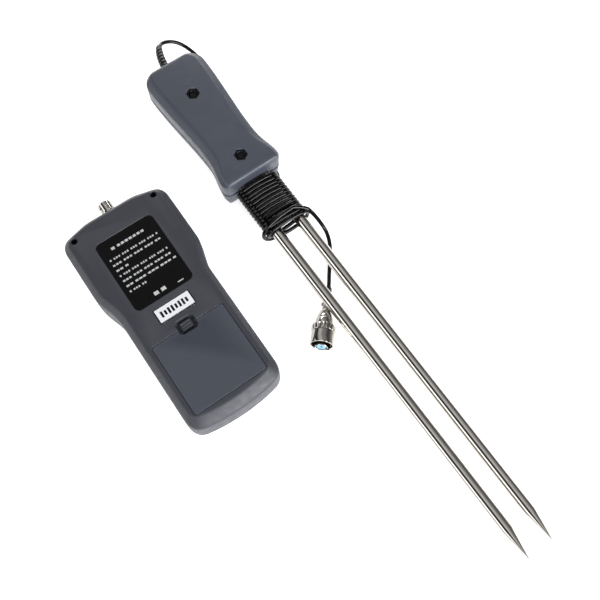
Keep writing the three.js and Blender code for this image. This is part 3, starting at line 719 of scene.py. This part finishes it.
def winding():
    """The tight turns and then the loose ones, in the handle's frame. The last half turn crosses over the
    others."""
    points = []
    steps = 56
    loose = 2.0
    last = 0.70
    total = int((WRAP_TURNS + loose + last) * steps)
    for k in range(4, total + 1):
        turn = k / steps
        slack = max(turn - WRAP_TURNS, 0.0)
        over = max(turn - WRAP_TURNS - loose, 0.0)
        radius = TURN_RADIUS + 0.35 * ease(slack * 3) + 2.75 * ease((slack - 1.72) / 0.34)
        x, z = round_pins(turn, radius)
        waver = 0.16 * math.sin(2.1 * turn) + 0.10 * math.sin(5.3 * turn + 1)
        y = WRAP_START - WRAP_PITCH * min(turn, WRAP_TURNS + loose) - 0.12 * slack + waver * ease(turn)
        y += 6.4 * ease(over / last) - 0.6 * ease(slack)
        points.append(PROBE @ Vector((x, y, z)))
    return points


def make_cord():
    """The whole lead as one cord, from the boot to the plug."""
    tail = smooth_path(TAIL_ROUTE)
    turns = winding()
    join = smooth_path([tail[-8], tail[-1], turns[0], turns[6]])
    last = smooth_path([turns[-8], turns[-2], LEAD_ROUTE[0], LEAD_ROUTE[1]])
    path = tail[:-1] + join[10:20] + turns[:-7] + last[10:20] + smooth_path(LEAD_ROUTE)
    path = [Vector(p) * MM for p in path]
    data = bpy.data.curves.new("lead", "CURVE")
    data.dimensions = "3D"
    data.bevel_depth = CORD / 2 * MM
    data.bevel_resolution = 4
    data.use_fill_caps = True
    line = data.splines.new("POLY")
    line.points.add(len(path) - 1)
    for point, place in zip(line.points, path):
        point.co = (*place, 1)
    data.materials.append(PAINTS["cord"])
    made = bpy.data.objects.new("lead", data)
    bpy.context.collection.objects.link(made)
    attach(made, "probe")
    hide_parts("cord_tail", "cord_wrap", "cord_loops", "cord_lead")
    length = sum((b - a).length for a, b in zip(path, path[1:]))
    return made, path, length


def make_boot():
    """The ribbed sleeve that the lead leaves the handle through, bent by the lead's weight."""
    root = HANDLE_LENGTH + GAP
    profile = [(0, HANDLE_LENGTH - 8), (2.4, HANDLE_LENGTH - 8), (2.4, HANDLE_LENGTH - 3.5),
               (3.3, HANDLE_LENGTH - 3), (3.3, root), (3.55, root + 0.3), (3.55, root + 2.4),
               (3.2, root + 2.9)]
    ribs = 7
    pitch = (BOOT_LENGTH - 6) / ribs
    for k in range(ribs):
        y = root + 3 + k * pitch
        outer = 3.2 - 0.4 * k / ribs
        inner = outer - 0.55
        profile += [(inner, y), (inner, y + 0.20 * pitch), (outer - 0.12, y + 0.27 * pitch),
                    (outer, y + 0.36 * pitch), (outer, y + 0.84 * pitch), (outer - 0.12, y + 0.93 * pitch)]
    end = root + BOOT_LENGTH
    profile += [(2.3, end - 2.9), (2.65, end - 2.6), (2.65, end - 0.5), (2.3, end), (1.45, end),
                (0, end - 0.1)]
    made = turned("strain_relief", profile, "boot")
    back = PROBE.inverted()
    for vertex in made.data.vertices:
        local = back @ (PROBE @ (vertex.co / MM))
        along = max(0.0, local.y - root - 2)
        bend = Vector((0.0105 * along * along, 0, -0.006 * along * along))
        vertex.co = (PROBE @ (local + bend)) * MM
    return finish(made, "probe", ["cord_boot"], 50)


# ---------------------------------------------------------------- the meter's case

def back_ring(inward, depth):
    """A ring of the chamfer and the back face. The chamfer is wider at the far end."""
    lift = BOTTOM_BEVEL * max(inward - 0.5, 0) / (CHAMFER - 0.5)
    return at_height(case_outline(inward, lift), under(depth))


def case_recess(name, outline, depth, flare=0.25):
    """A cutter for a shallow recess in the back face, with a small chamfer at its rim."""
    grown = inset(outline, -flare)
    rings = [at_height(outline, -depth), at_height(outline, -flare), at_height(grown, 0.001),
             at_height(grown, 2)]
    return loft(name, rings, "case", BACK)


def octagon(grow=0.0):
    """The outline of the finger recess round the latch."""
    half = LATCH["half"] + grow
    top = LATCH["top"] + grow
    bottom = LATCH["bottom"] - grow
    corner = LATCH["corner"] + 0.4 * grow
    return [(-half + corner, bottom), (half - corner, bottom), (half, bottom + corner), (half, top - corner),
            (half - corner, top), (-half + corner, top), (-half, top - corner), (-half, bottom + corner)]


def finger_recess(name):
    """A cutter for the finger recess, with sloping walls."""
    rings = [at_height(octagon(-1.1), -LATCH["depth"]), at_height(octagon(-0.2), -0.8),
             at_height(octagon(), -0.2),
             at_height(octagon(0.25), 0.001), at_height(octagon(0.25), 2)]
    return loft(name, rings, "case", BACK)


def make_rear_case():
    start = PARTING + GAP
    corner = (0.45, CHAMFER_DROP + 0.3)
    crest = (CHAMFER, 0)
    lower = fillet(corner, (0.1, 12), crest, 1.5)
    upper = fillet(crest, corner, (CHAMFER + 6, 0), 1.1)
    rings = [at_height(case_outline(0.35), start), at_height(case_outline(0.05), start + 0.3)]
    rings += [back_ring(inward, depth) for inward, depth in lower + upper]
    made = loft("case_back", rings, "case")
    hollow = [at_height(case_outline(WALL), start - 1),
              at_height(case_outline(WALL + 0.5), under(CHAMFER_DROP + 1.4)),
              at_height(case_outline(CHAMFER + 0.6, BOTTOM_BEVEL), under(WALL))]
    cut(made, loft("hollow", hollow, "case"))
    wall = 1.2
    side = BAY["half"] + wall
    join(made,
         block("bay", -side, side, BAY["bottom"] - wall, BAY["top"] + wall, BAY["floor"] - wall, 27.2,
               "case"),
         block("latch_seat", -8, 8, DOOR["top"] + DOOR_GAP, LATCH["top"] + 1.4, -4.9, -1.8, "case", BACK),
         *[loft("boss", column(upright(x, y, 4.1), (start, 0), (30, 0)), "case") for x, y in SCREWS])
    edge = DOOR["half"] + DOOR_GAP
    bed = -DOOR["thickness"] - GAP
    door_hole = rounded(-edge, edge, DOOR["bottom"] - DOOR_GAP, DOOR["top"] + DOOR_GAP, 1.5)
    half = BAY["half"]
    cut(made,
        block("bay_hole", -half, half, BAY["bottom"], BAY["top"], BAY["floor"], 40, "case"),
        case_recess("door_hole", door_hole, -bed, 0.12),
        block("cup_hole", -8, 8, BAY["top"] - 1, DOOR["top"] + DOOR_GAP, -4.8, 0, "case", BACK),
        finger_recess("finger_hole"),
        *[block("hook_hole", x - 3.2, x + 3.2, -71.2, -66, -4.6, bed, "case", BACK) for x in HOOKS],
        *[loft("shank_hole", column(upright(x, y, 1.3), (5, 0), (HEAD_SEAT + 1, 0)), "case") for x,
          y in SCREWS],
        case_recess("label_hole", plate(LABEL, GAP), RECESS, 0.2),
        case_recess("sticker_hole", plate(STICKER, GAP), RECESS, 0.15),
        turned("socket_hole", [(0, 60), (5, 60), (5, 90), (0, 90)], "case", SOCKET))
    for x, y in SCREWS:
        top = under(0)(y)
        cut(made, loft("head_hole", [at_height(upright(x, y, 2.15), HEAD_SEAT),
                                     at_height(upright(x, y, 2.15), top - 0.5),
                                     at_height(upright(x, y, 2.6), top + 0.1),
                                     at_height(upright(x, y, 2.6), 40)],
                       "case"))
    return finish(made, "meter", ["rear_case"])


def make_front_case():
    rings = [at_height(case_outline(inward), height) for inward, height in
             ((3.4, 0), (2.4, 0.12), (1.6, 0.5), (0.9, 1.2), (0.4, 2.4), (0.15, 4), (0, 7),
              (0.05, PARTING - 0.3),
              (0.35, PARTING))]
    made = loft("case_front", rings, "case")
    hollow = [at_height(case_outline(inward), height) for inward,
              height in ((3.2, 2.4), (WALL, 4.4), (WALL, 14))]
    cut(made, loft("hollow", hollow, "case"))
    posts = ((-27, -58), (27, -58), (-27, 23), (27, 23))
    join(made,
         loft("frame", column(plate(WINDOW, 2.4), (2.2, 0), (3.4, 0)), "case"),
         *[loft("boss", column(upright(x, y, 3.4), (2, 0), (PARTING, 0)), "case") for x, y in SCREWS],
         *[loft("post", column(upright(x, y, 2), (2, 0), (8.3, 0)), "case") for x, y in posts])
    window = plate(WINDOW)
    cut(made,
        *[loft("shank_hole", column(upright(x, y, 1.3), (5.5, 0), (14, 0)), "case") for x, y in SCREWS],
        loft("window_hole", column(window, (-1, -0.3), (-0.001, -0.3), (0.3, 0), (2, 0)), "case"),
        loft("view_hole", column(plate(WINDOW, -2.2), (-1, 0), (5, 0)), "case"),
        *[loft("key_hole", column(key_outline(place, 0.35), (-1, -0.3), (-0.001, -0.3), (0.3, 0), (4, 0)),
               "case")
          for place in KEYS.values()])
    return finish(made, "meter", ["front_case"])


def key_outline(place, grow=0.0):
    width, depth, radius = KEY_SIZE
    x, y = place
    return rounded(x - width / 2 - grow, x + width / 2 + grow, y - depth / 2 - grow, y + depth / 2 + grow,
                   radius + grow)


def make_keys():
    """The keys on the front, each with a plain raised mark."""
    for name, place in KEYS.items():
        cap = key_outline(place)
        rim = key_outline(place, 1.1)
        rings = [at_height(inset(cap, inward), height) for inward, height in
                 ((2.2, 0.34), (1.0, 0.36), (0.35, 0.55), (0, 1.0), (0, 2.6))]
        rings += [at_height(cap, 2.7), at_height(rim, 2.7), at_height(rim, 3.7), at_height(cap, 3.7),
                  at_height(cap, 3.9)]
        made = loft(name + "_cap", rings, "key")
        finish(made, name, [name])
        finish(key_mark(name, place), name)


def key_mark(name, place):
    """A plain mark: triangles that point up and down, a bar, a square and a ring."""
    x, y = place
    shapes = {
        "key_up": [(-2.2, -1.2), (2.2, -1.2), (0, 2.0)],
        "key_down": [(-2.2, 1.2), (0, -2.0), (2.2, 1.2)],
        "key_mode": [(-2.4, -0.5), (2.4, -0.5), (2.4, 0.5), (-2.4, 0.5)],
        "key_hold": [(-1.5, -1.5), (1.5, -1.5), (1.5, 1.5), (-1.5, 1.5)],
        "key_power": upright(0, 0, 1.8, 24),
    }
    outline = [(x + a, y + b) for a, b in shapes[name]]
    return loft(name + "_mark", column(outline, (0.26, 0.08), (0.3, 0), (0.4, 0)), "print")


def make_door():
    """The battery door, with its finger recess and its two hooks."""
    half, thick = DOOR["half"], DOOR["thickness"]
    outline = rounded(-half, half, DOOR["bottom"], DOOR["top"], 1.2)
    rings = [at_height(outline, -thick), at_height(outline, -0.15), at_height(inset(outline, 0.15), 0)]
    made = loft("door", rings, "door", BACK)
    join(made,
         block("cup", -7.3, 7.3, -23.6, DOOR["top"], -4.2, -thick + 0.1, "door", BACK),
         *[block("leg", x - 2.4, x + 2.4, -67.9, -66.4, -4, -thick + 0.1, "door", BACK) for x in HOOKS])
    join(made, *[block("foot", x - 2.4, x + 2.4, -69.9, -66.4, -4, -2.6, "door", BACK) for x in HOOKS])
    join(made, *[block("rib", x - 0.5, x + 0.5, -64, -26, -2.4, -thick + 0.1, "door", BACK) for x in (-11,
                                                                                                      0, 11)])
    cut(made, finger_recess("finger_hole"))
    return finish(made, "battery_door", ["battery_door"])


def make_latch():
    """The sliding latch: a ribbed thumb piece in the finger recess."""
    half, low, high, top = 3.9, -20.6, -14.4, -1.5
    outline = rounded(-half, half, low, high, 0.5, 3)
    made = loft("latch", [at_height(outline, -2.6), at_height(outline, top - 0.3),
                          at_height(inset(outline, 0.3), top)],
                "latch", BACK)
    ridges = []
    for k in range(3):
        y = -19.6 + 1.9 * k
        ridges.append(block("ridge", -half + 0.5, half - 0.5, y - 0.35, y + 0.35, top - 0.3, top + 0.4,
                            "latch", BACK))
    join(made, *ridges)
    soften(made, 0.12, 2)
    return finish(made, "door_latch", ["door_latch"])


def make_label():
    """The black label, with plain bars in place of its print."""
    outline = plate(LABEL)
    rings = [at_height(outline, -RECESS + GAP), at_height(outline, PLATE_TOP - 0.08),
             at_height(inset(outline, 0.12), PLATE_TOP)]
    finish(loft("label", rings, "label", BACK), "meter", ["back_label"])
    finish(bars("label_print", label_bars(), PLATE_TOP, "print"), "meter")


def label_bars():
    """Plain dashes in place of the print: a heading, seven rows, and marks at the foot."""
    made = [(-12.6, -10.2, 50.6, 52.4)]
    made += [(-8.4 + 2.9 * k, -6.3 + 2.9 * k, 50.7, 52.3) for k in range(7)]
    ends = (17.5, 16.5, -8.5, 17.5, 16.5, 17.0, -5.5)
    for row, end in enumerate(ends):
        y = 44.8 - 4.1 * row
        x = -17.5
        step = 0
        while x < end:
            width = 1.1 + 0.5 * ((step * 3 + row) % 3)
            made.append((x, x + width, y - 0.62, y + 0.62))
            x += width + 0.6 + 1.1 * ((step + row) % 3 == 0)
            step += 1
    made += [(-6.0, -2.8, 9.0, 11.4), (-0.8, 2.4, 9.0, 11.4), (10.4, 14.6, 8.4, 9.1)]
    return made


def bars(name, rectangles, floor, paint):
    """Thin raised bars, as one mesh on the back face."""
    points, faces = [], []
    lift = 0.04
    for x0, x1, y0, y1 in rectangles:
        base = len(points)
        for z in (floor, floor + lift):
            points += [(x0, y0, z), (x1, y0, z), (x1, y1, z), (x0, y1, z)]
        faces += [tuple(base + i for i in face) for face in
                  ((3, 2, 1, 0), (4, 5, 6, 7), (0, 1, 5, 4), (1, 2, 6, 5), (2, 3, 7, 6), (3, 0, 4, 7))]
    return solid(name, points, faces, paint, BACK)


def make_sticker():
    """The silver sticker: a dark edge line and a row of plain marks."""
    outline = plate(STICKER)
    rings = [at_height(outline, -RECESS + GAP), at_height(outline, PLATE_TOP - 0.05),
             at_height(inset(outline, 0.08), PLATE_TOP)]
    finish(loft("sticker", rings, "foil", BACK), "meter", ["serial_sticker"])
    half, top, bottom = STICKER["half"], STICKER["top"], STICKER["bottom"]
    line = 0.5
    marks = [(-half, half, top - line, top), (-half, half, bottom, bottom + line),
             (-half, -half + line, bottom + line, top - line), (half - line, half, bottom + line, top - line)]
    for k in range(8):
        x = -8.9 + 2.54 * k
        tall = 2.1 - 0.5 * (k % 3 == 1)
        marks.append((x - 0.75, x + 0.75, -3.9 - tall, -3.9 + tall))
    finish(bars("sticker_print", marks, PLATE_TOP, "ink"), "meter")


def make_case_screws():
    """The two screws at the bottoms of their recesses."""
    for name, (x, y) in zip(("left", "right"), SCREWS):
        head = HEAD_SEAT + GAP
        rings = [at_height(upright(x, y, radius), height) for radius, height in
                 ((0.9, 6), (1, 6.6), (1, head), (1.9, head), (1.9, head + 1.2), (1.7, head + 1.7),
                  (1.2, head + 2))]
        made = loft("screw_" + name, rings, "black_steel")
        cut(made, block("slot", x - 1.2, x + 1.2, y - 0.3, y + 0.3, head + 1, head + 3, "black_steel"))
        cut(made, block("slot", x - 0.3, x + 0.3, y - 1.2, y + 1.2, head + 1, head + 3, "black_steel"))
        finish(made, "meter", ["case_screw_" + name])


# ---------------------------------------------------------------- socket

def make_socket():
    """The bayonet socket on the end of the meter."""
    face = TOP_END + GAP
    mouth = SOCKET_MOUTH
    profile = [(0, 70), (4.7, 70), (4.7, face), (6.2, face), (6.2, face + 1.1), (5.9, face + 1.4),
               (4.8, face + 1.4),
               (4.8, mouth - 3.9), (4.65, mouth - 3.7), (4.65, mouth - 2.2), (4.8, mouth - 2.0),
               (4.8, mouth - 0.45),
               (4.55, mouth), (4.15, mouth), (4.05, mouth - 0.2), (4.05, face + 2.4), (0, face + 2.4)]
    made = turned("socket", profile, "nickel", SOCKET, 64)
    across = SOCKET @ Matrix.Translation((0, mouth - 2.9, 0)) @ Matrix.Rotation(STUD_TURN + math.pi / 2, 4,
                                                                                "Y")
    for name, turn in (("stud_a", 0), ("stud_b", math.pi)):
        out = across @ Matrix.Rotation(turn, 4, "Y") @ Matrix.Rotation(math.pi / 2, 4, "X")
        stud = turned(name, [(0, 4.3), (1, 4.3), (1, 5.4), (0.85, 5.6), (0, 5.6)], "nickel", out, 20)
        join(made, stud)
    finish(made, "meter", ["socket_body"], 28)
    inside = face + 2.4 + GAP
    core = [(0.85, inside), (2.4, inside), (2.4, inside + 6.1), (2.15, inside + 6.4), (0.95, inside + 6.4),
            (0.85, inside + 6.2)]
    finish(turned("socket_core", core, "white", SOCKET, 40, True), "meter",
           ["socket_insulator"])
    pin = [(0, inside), (0.5, inside), (0.5, inside + 5.3), (0.3, inside + 5.75), (0, inside + 5.8)]
    finish(turned("socket_pin", pin, "brass", SOCKET, 20), "meter", ["socket_contact"])


# ---------------------------------------------------------------- probe

def end_holes():
    """Cutters for the pins and for the lead's sleeve in the handle's ends."""
    sleeve = turned("boot_hole", [(0, 97), (3.6, 97), (3.6, 110), (0, 110)], "handle", PROBE)
    return [sleeve] + [turned("pin_hole", [(0, -1), (4.3, -1), (4.3, 8), (0, 8)], "handle",
                              PROBE @ Matrix.Translation((x, 0, 0))) for x in (-PIN_X, PIN_X)]


def make_handle_top():
    """The handle's upper half. Its long edges have a wide soft bevel."""
    start = HANDLE_SPLIT + GAP / 2
    top = HANDLE_TOP
    bevel = ((0.35, 0.3, 0.35, 0.35, start), (0.1, 0.1, 0.1, 0.1, start + 0.12), (0, 0, 0, 0, start + 0.4),
             (0, 0, 0, 0, top - 4.4), (0.12, 0, 0.05, 0.07, top - 3.7), (0.5, 0.05, 0.2, 0.3, top - 3.15),
             (1.1, 0.12, 0.4, 0.7, top - 2.65), (2.2, 0.35, 0.8, 1.3, top - 1.9),
             (3.3, 0.7, 1.2, 2.0, top - 1.2),
             (4.1, 1.1, 1.7, 2.5, top - 0.75), (4.8, 1.6, 2.2, 2.9, top - 0.38),
             (5.5, 2.15, 2.7, 3.3, top - 0.12),
             (6.4, 2.8, 3.4, 3.8, top))
    made = loft("grip_top", [at_height(handle_outline(*edge), height) for *edge, height in bevel], "handle",
                PROBE)
    hollow = [at_height(handle_outline(2.5), start - 1), at_height(handle_outline(2.5), top - 5),
              at_height(handle_outline(7.5, 4, 5), top - 2.5)]
    cut(made, loft("hollow", hollow, "handle", PROBE))
    blocks = [block("rib", -11, 11, y - 0.75, y + 0.75, 6.8, top - 1.5, "handle", PROBE) for y in BLOCK_RIBS]
    for y in BOLTS.values():
        blocks.append(block("boss", -4.6, 4.6, y - 6.5, y + 6.5, start, top - 1.5, "handle", PROBE))
        blocks.append(block("head", -7, 7, y - 7.5, y + 7.5, 6.3, top - 1.5, "handle", PROBE))
    join(made, *blocks)
    for y in BOLTS.values():
        floor = NUT_TOP - 4 - GAP
        pocket = hexagon(y, POCKET_FLAT)
        rings = [at_height(pocket, floor), at_height(pocket, top - 0.35),
                 at_height(inset(pocket, -0.3), top + 0.001),
                 at_height(inset(pocket, -0.3), 20)]
        cut(made, loft("pocket", rings, "handle", PROBE),
            loft("bolt_hole", column(upright(0, y, 2.8), (-20, 0), (20, 0)), "handle", PROBE))
    cut(made, *end_holes())
    return finish(made, "probe", ["handle_top"])


def make_handle_bottom():
    """The handle's lower half, which tapers downwards under a groove."""
    top = HANDLE_SPLIT - GAP / 2
    base = -HANDLE_BOTTOM
    sides = ((8.4, FOOT, 8.6, 5.4, base), (7.3, 5.0, 7.5, 4.6, base + 0.25), (6.2, 3.8, 6.4, 3.8, base + 0.9),
             (5.6, 3.1, 5.7, 3.3, base + 1.6), (5.2, 2.6, 5.2, 3, base + 2.4), (1.2, 0.6, 1.2, 0.8, -7.4),
             (0.25, 0.2, 0.25, 0.2, top - 3.0), (0, 0, 0, 0, top - 2.4), (0, 0, 0, 0, top - 1.35),
             (0.12, 0.12, 0.12, 0.12, top - 1.08), (0.75, 0.75, 0.75, 0.75, top - 1),
             (0.75, 0.75, 0.75, 0.75, top))
    made = loft("grip_bottom", [at_height(handle_outline(*side), height) for *side, height in sides],
                "handle", PROBE)
    hollow = [at_height(handle_outline(8.6, 6.6, 8.6), base + 2.5), at_height(handle_outline(4.3), -7),
              at_height(handle_outline(3.4), top - 3), at_height(handle_outline(3.4), top + 1)]
    cut(made, loft("hollow", hollow, "handle", PROBE))
    blocks = [block("rib", -10, 10, y - 0.75, y + 0.75, -15, -5.8, "handle", PROBE) for y in BLOCK_RIBS]
    for y in BOLTS.values():
        blocks.append(block("boss", -4.6, 4.6, y - 6.5, y + 6.5, -15, top, "handle", PROBE))
        blocks.append(block("head", -7, 7, y - 7.5, y + 7.5, -15, -9, "handle", PROBE))
    join(made, *blocks)
    for y in BOLTS.values():
        seat = upright(0, y, 4.6)
        cut(made, loft("bolt_hole", column(upright(0, y, 2.8), (-20, 0), (20, 0)), "handle", PROBE),
            loft("head_hole", [at_height(upright(0, y, 5), -20), at_height(upright(0, y, 5), -17.001),
                               at_height(seat, -16.6), at_height(seat, -13)], "handle", PROBE))
    cut(made, *end_holes())
    return finish(made, "probe", ["handle_bottom"])


def make_bolts():
    """The two through bolts and their nuts."""
    for name, y in BOLTS.items():
        rings = [at_height(upright(0, y, radius), height) for radius, height in
                 ((3.8, -16.5), (4.2, -16.1), (4.2, -13.3), (2.5, -13.3), (2.5, NUT_TOP - 0.9),
                  (2.2, NUT_TOP - 0.4))]
        made = loft("bolt_" + name, rings, "black_steel", PROBE)
        cut(made, loft("key", column(hexagon(y, 4), (-18, 0), (-14.6, 0)), "black_steel", PROBE))
        finish(made, "probe", ["handle_bolt_" + name])
        nut = hexagon(y, NUT_FLAT)
        rings = [at_height(inset(nut, inward), height) for inward, height in
                 ((0.35, NUT_TOP - 4), (0, NUT_TOP - 3.7), (0, NUT_TOP - 0.4), (0.4, NUT_TOP))]
        made = loft("nut_" + name, rings, "black_steel", PROBE)
        bore = [at_height(upright(0, y, 2.7), 5), at_height(upright(0, y, 2.7), NUT_TOP - 0.35),
                at_height(upright(0, y, 3.05), NUT_TOP + 0.001), at_height(upright(0, y, 3.05), 20)]
        cut(made, loft("bore", bore, "black_steel", PROBE))
        finish(made, "probe", ["handle_nut_" + name])


def make_pins():
    """The two long pins with their ground points."""
    for name, x in (("left", -PIN_X), ("right", PIN_X)):
        shoulder = -PIN_REACH + PIN_CONE
        profile = [(0, -PIN_REACH), (0.16, -PIN_REACH + 0.25)]
        profile += [(PIN_RADIUS * k / 8 - 0.02, shoulder - PIN_CONE * (1 - k / 8)) for k in range(1, 8)]
        profile += [(PIN_RADIUS - 0.05, shoulder - 0.3), (PIN_RADIUS, shoulder + 0.2)]
        profile += [(PIN_RADIUS, shoulder + 32 * k) for k in range(1, 10)]
        profile += [(PIN_RADIUS, PIN_INSIDE - 0.5), (PIN_RADIUS - 0.5, PIN_INSIDE), (1.7, PIN_INSIDE),
                    (1.7, PIN_INSIDE - 7), (0, PIN_INSIDE - 7)]
        made = turned("pin_" + name, profile, "pin", PROBE @ Matrix.Translation((x, 0, 0)), 72)
        finish(made, "probe", ["probe_pin_" + name], 40)


# ---------------------------------------------------------------- plug

def make_plug():
    """The bayonet plug on the lead's end. Returns its pieces."""
    def piece(name, profile, paint, node, sides=64, closed=False, body="probe", angle=28):
        made = turned(name, profile, paint, PLUG, sides, closed)
        return finish(made, body, [node], angle)

    shell = [(0, 12.5), (4.6, 12.5), (4.6, NUT_LENGTH + GAP), (5.6, NUT_LENGTH + GAP),
             (5.8, NUT_LENGTH + 0.6),
             (5.8, 18.2), (5.65, 18.5), (5.3, 18.7), (5.3, 19.5), (5.1, 20.4), (4.0, 23.8), (3.7, 24.4),
             (3.0, 25.4),
             (2.95, 27.0), (2.7, 27.2), (0, 27.2)]
    pieces = [piece("plug_barrel", shell, "nickel", "plug_shell")]
    ferrule = [(0, 12.2), (4.2, 12.2), (4.2, -1.1), (4.05, -1.3), (3.8, -1.3), (3.7, -1.1), (3.7, 10.6),
               (0, 10.6)]
    pieces.append(piece("plug_tube", list(reversed(ferrule)), "nickel", "plug_ferrule"))
    core = [(0.9, -0.7), (1.1, -0.9), (3.1, -0.9), (3.3, -0.7), (3.3, 10.2), (0.9, 10.2)]
    pieces.append(piece("plug_core", core, "blue", "plug_insulator", 40, True))
    contact = [(0, 0.6), (0.35, 0.6), (0.55, 0.9), (0.55, 10.2), (0, 10.2)]
    pieces.append(piece("plug_pin", contact, "brass", "plug_contact", 20))
    sleeve = [(0, 31.7), (2.0, 31.7), (2.15, 31.9), (2.15, 40.2), (1.9, 42.2), (1.75, PLUG_LENGTH),
              (0, PLUG_LENGTH)]
    pieces.append(piece("plug_boot", sleeve, "boot", "plug_sleeve", 40))
    pieces.append(make_clamp())
    pieces.append(make_coupling_nut())
    return pieces


def make_clamp():
    """The collar that grips the lead, with its two folded ears."""
    made = turned("plug_collar", [(0, 27.5), (2.4, 27.5), (2.5, 27.7), (2.5, 31.2), (2.4, 31.4), (0, 31.4)],
                  "nickel",
                  PLUG, 40)
    for side in (-1, 1):
        x0, x1 = sorted((side * 2.0, side * 3.6))
        join(made, block("ear", x0, x1, 28.4, 31.0, -0.6, 0.6, "nickel", PLUG))
    soften(made, 0.15, 2)
    return finish(made, "probe", ["plug_clamp"])


def make_coupling_nut():
    """The turning nut: a smooth skirt, open wide at the mouth, and a knurled collar."""
    profile = [(6.7, 0.4), (7.0, 0), (7.5, 0), (7.75, 0.2), (7.85, 0.6), (7.6, 4.5), (7.5, 8.6), (7.2, 8.9),
               (7.2, 9.2),
               (7.6, 9.4), (7.75, 9.8), (7.75, 13.4), (7.5, 13.8), (7.2, NUT_LENGTH), (5, NUT_LENGTH),
               (5, 9), (6.7, 8)]
    sides = 96
    made = turned("plug_nut", profile, "nickel", PLUG, sides, True)
    back = PLUG.inverted()
    for vertex in made.data.vertices:
        local = back @ (vertex.co / MM)
        radius = math.hypot(local.x, local.z)
        if 7.65 < radius and 9.6 < local.y < 13.6:
            turn = math.atan2(local.z, local.x)
            radius += 0.16 * math.cos(turn * sides / 4)
            vertex.co = (PLUG @ Vector((radius * math.cos(turn), local.y, radius * math.sin(turn)))) * MM
    return finish(made, "coupling_nut", ["coupling_nut"], 30)


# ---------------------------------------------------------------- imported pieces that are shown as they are

def paint_node(name, paint):
    """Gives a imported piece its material."""
    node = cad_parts[name]
    node.data.materials.clear()
    node.data.materials.append(PAINTS[paint])
    node.data.set_sharp_from_angle(angle=math.radians(30))


def paint_nodes():
    kept = {
        "display_window": "window", "lcd_module": "display", "main_board": "board", "key_mat": "mat",
        "socket_nut": "nickel", "socket_washer": "spring", "battery_contact_top": "spring",
        "battery_contact_bottom": "spring", "pin_block": "block", "lug_left": "brass", "lug_right": "brass",
        "lug_screw_left": "spring", "lug_screw_right": "spring", "core_wire_left": "wire",
        "core_wire_right": "wire",
    }
    for name, paint in kept.items():
        paint_node(name, paint)
    for k in range(4):
        make_cell(k)


def make_cell(index):
    """A plain AAA cell: a coloured jacket with a paler band, and a steel button."""
    half, radius = 22.25, 5.25
    turn = math.pi if index % 2 else 0
    place = placed((index - 1.5) * 11, -43.8, 18.6, turn, 0)
    jacket = [(0, -half), (3.9, -half), (4.1, -half + 0.15), (4.6, -half + 0.15), (5.1, -half + 0.4),
              (radius, -half + 0.9),
              (radius, half - 2), (5.1, half - 1.4), (4.5, half - 1.15), (2.4, half - 1.1), (1.9, half - 1),
              (1.9, half - 0.2),
              (1.7, half), (0, half)]
    made = turned(f"cell_{index + 1}", jacket, "cell", place, 40)
    made.data.materials.append(PAINTS["spring"])
    back = place.inverted()
    for face in made.data.polygons:
        y = (back @ (face.center / MM)).y
        if y > half - 1.3 or y < -half + 0.2:
            face.material_index = 1
    finish(made, "meter", [f"battery_cell_{index + 1}"])


# ---------------------------------------------------------------- the scene


make_camera()
cord, cord_path, cord_length = make_cord()
make_stage()
make_boot()
make_rear_case()
make_front_case()
make_keys()
make_door()
make_latch()
make_label()
make_sticker()
make_case_screws()
make_socket()
make_handle_top()
make_handle_bottom()
make_bolts()
make_pins()
plug_pieces = make_plug()
paint_nodes()
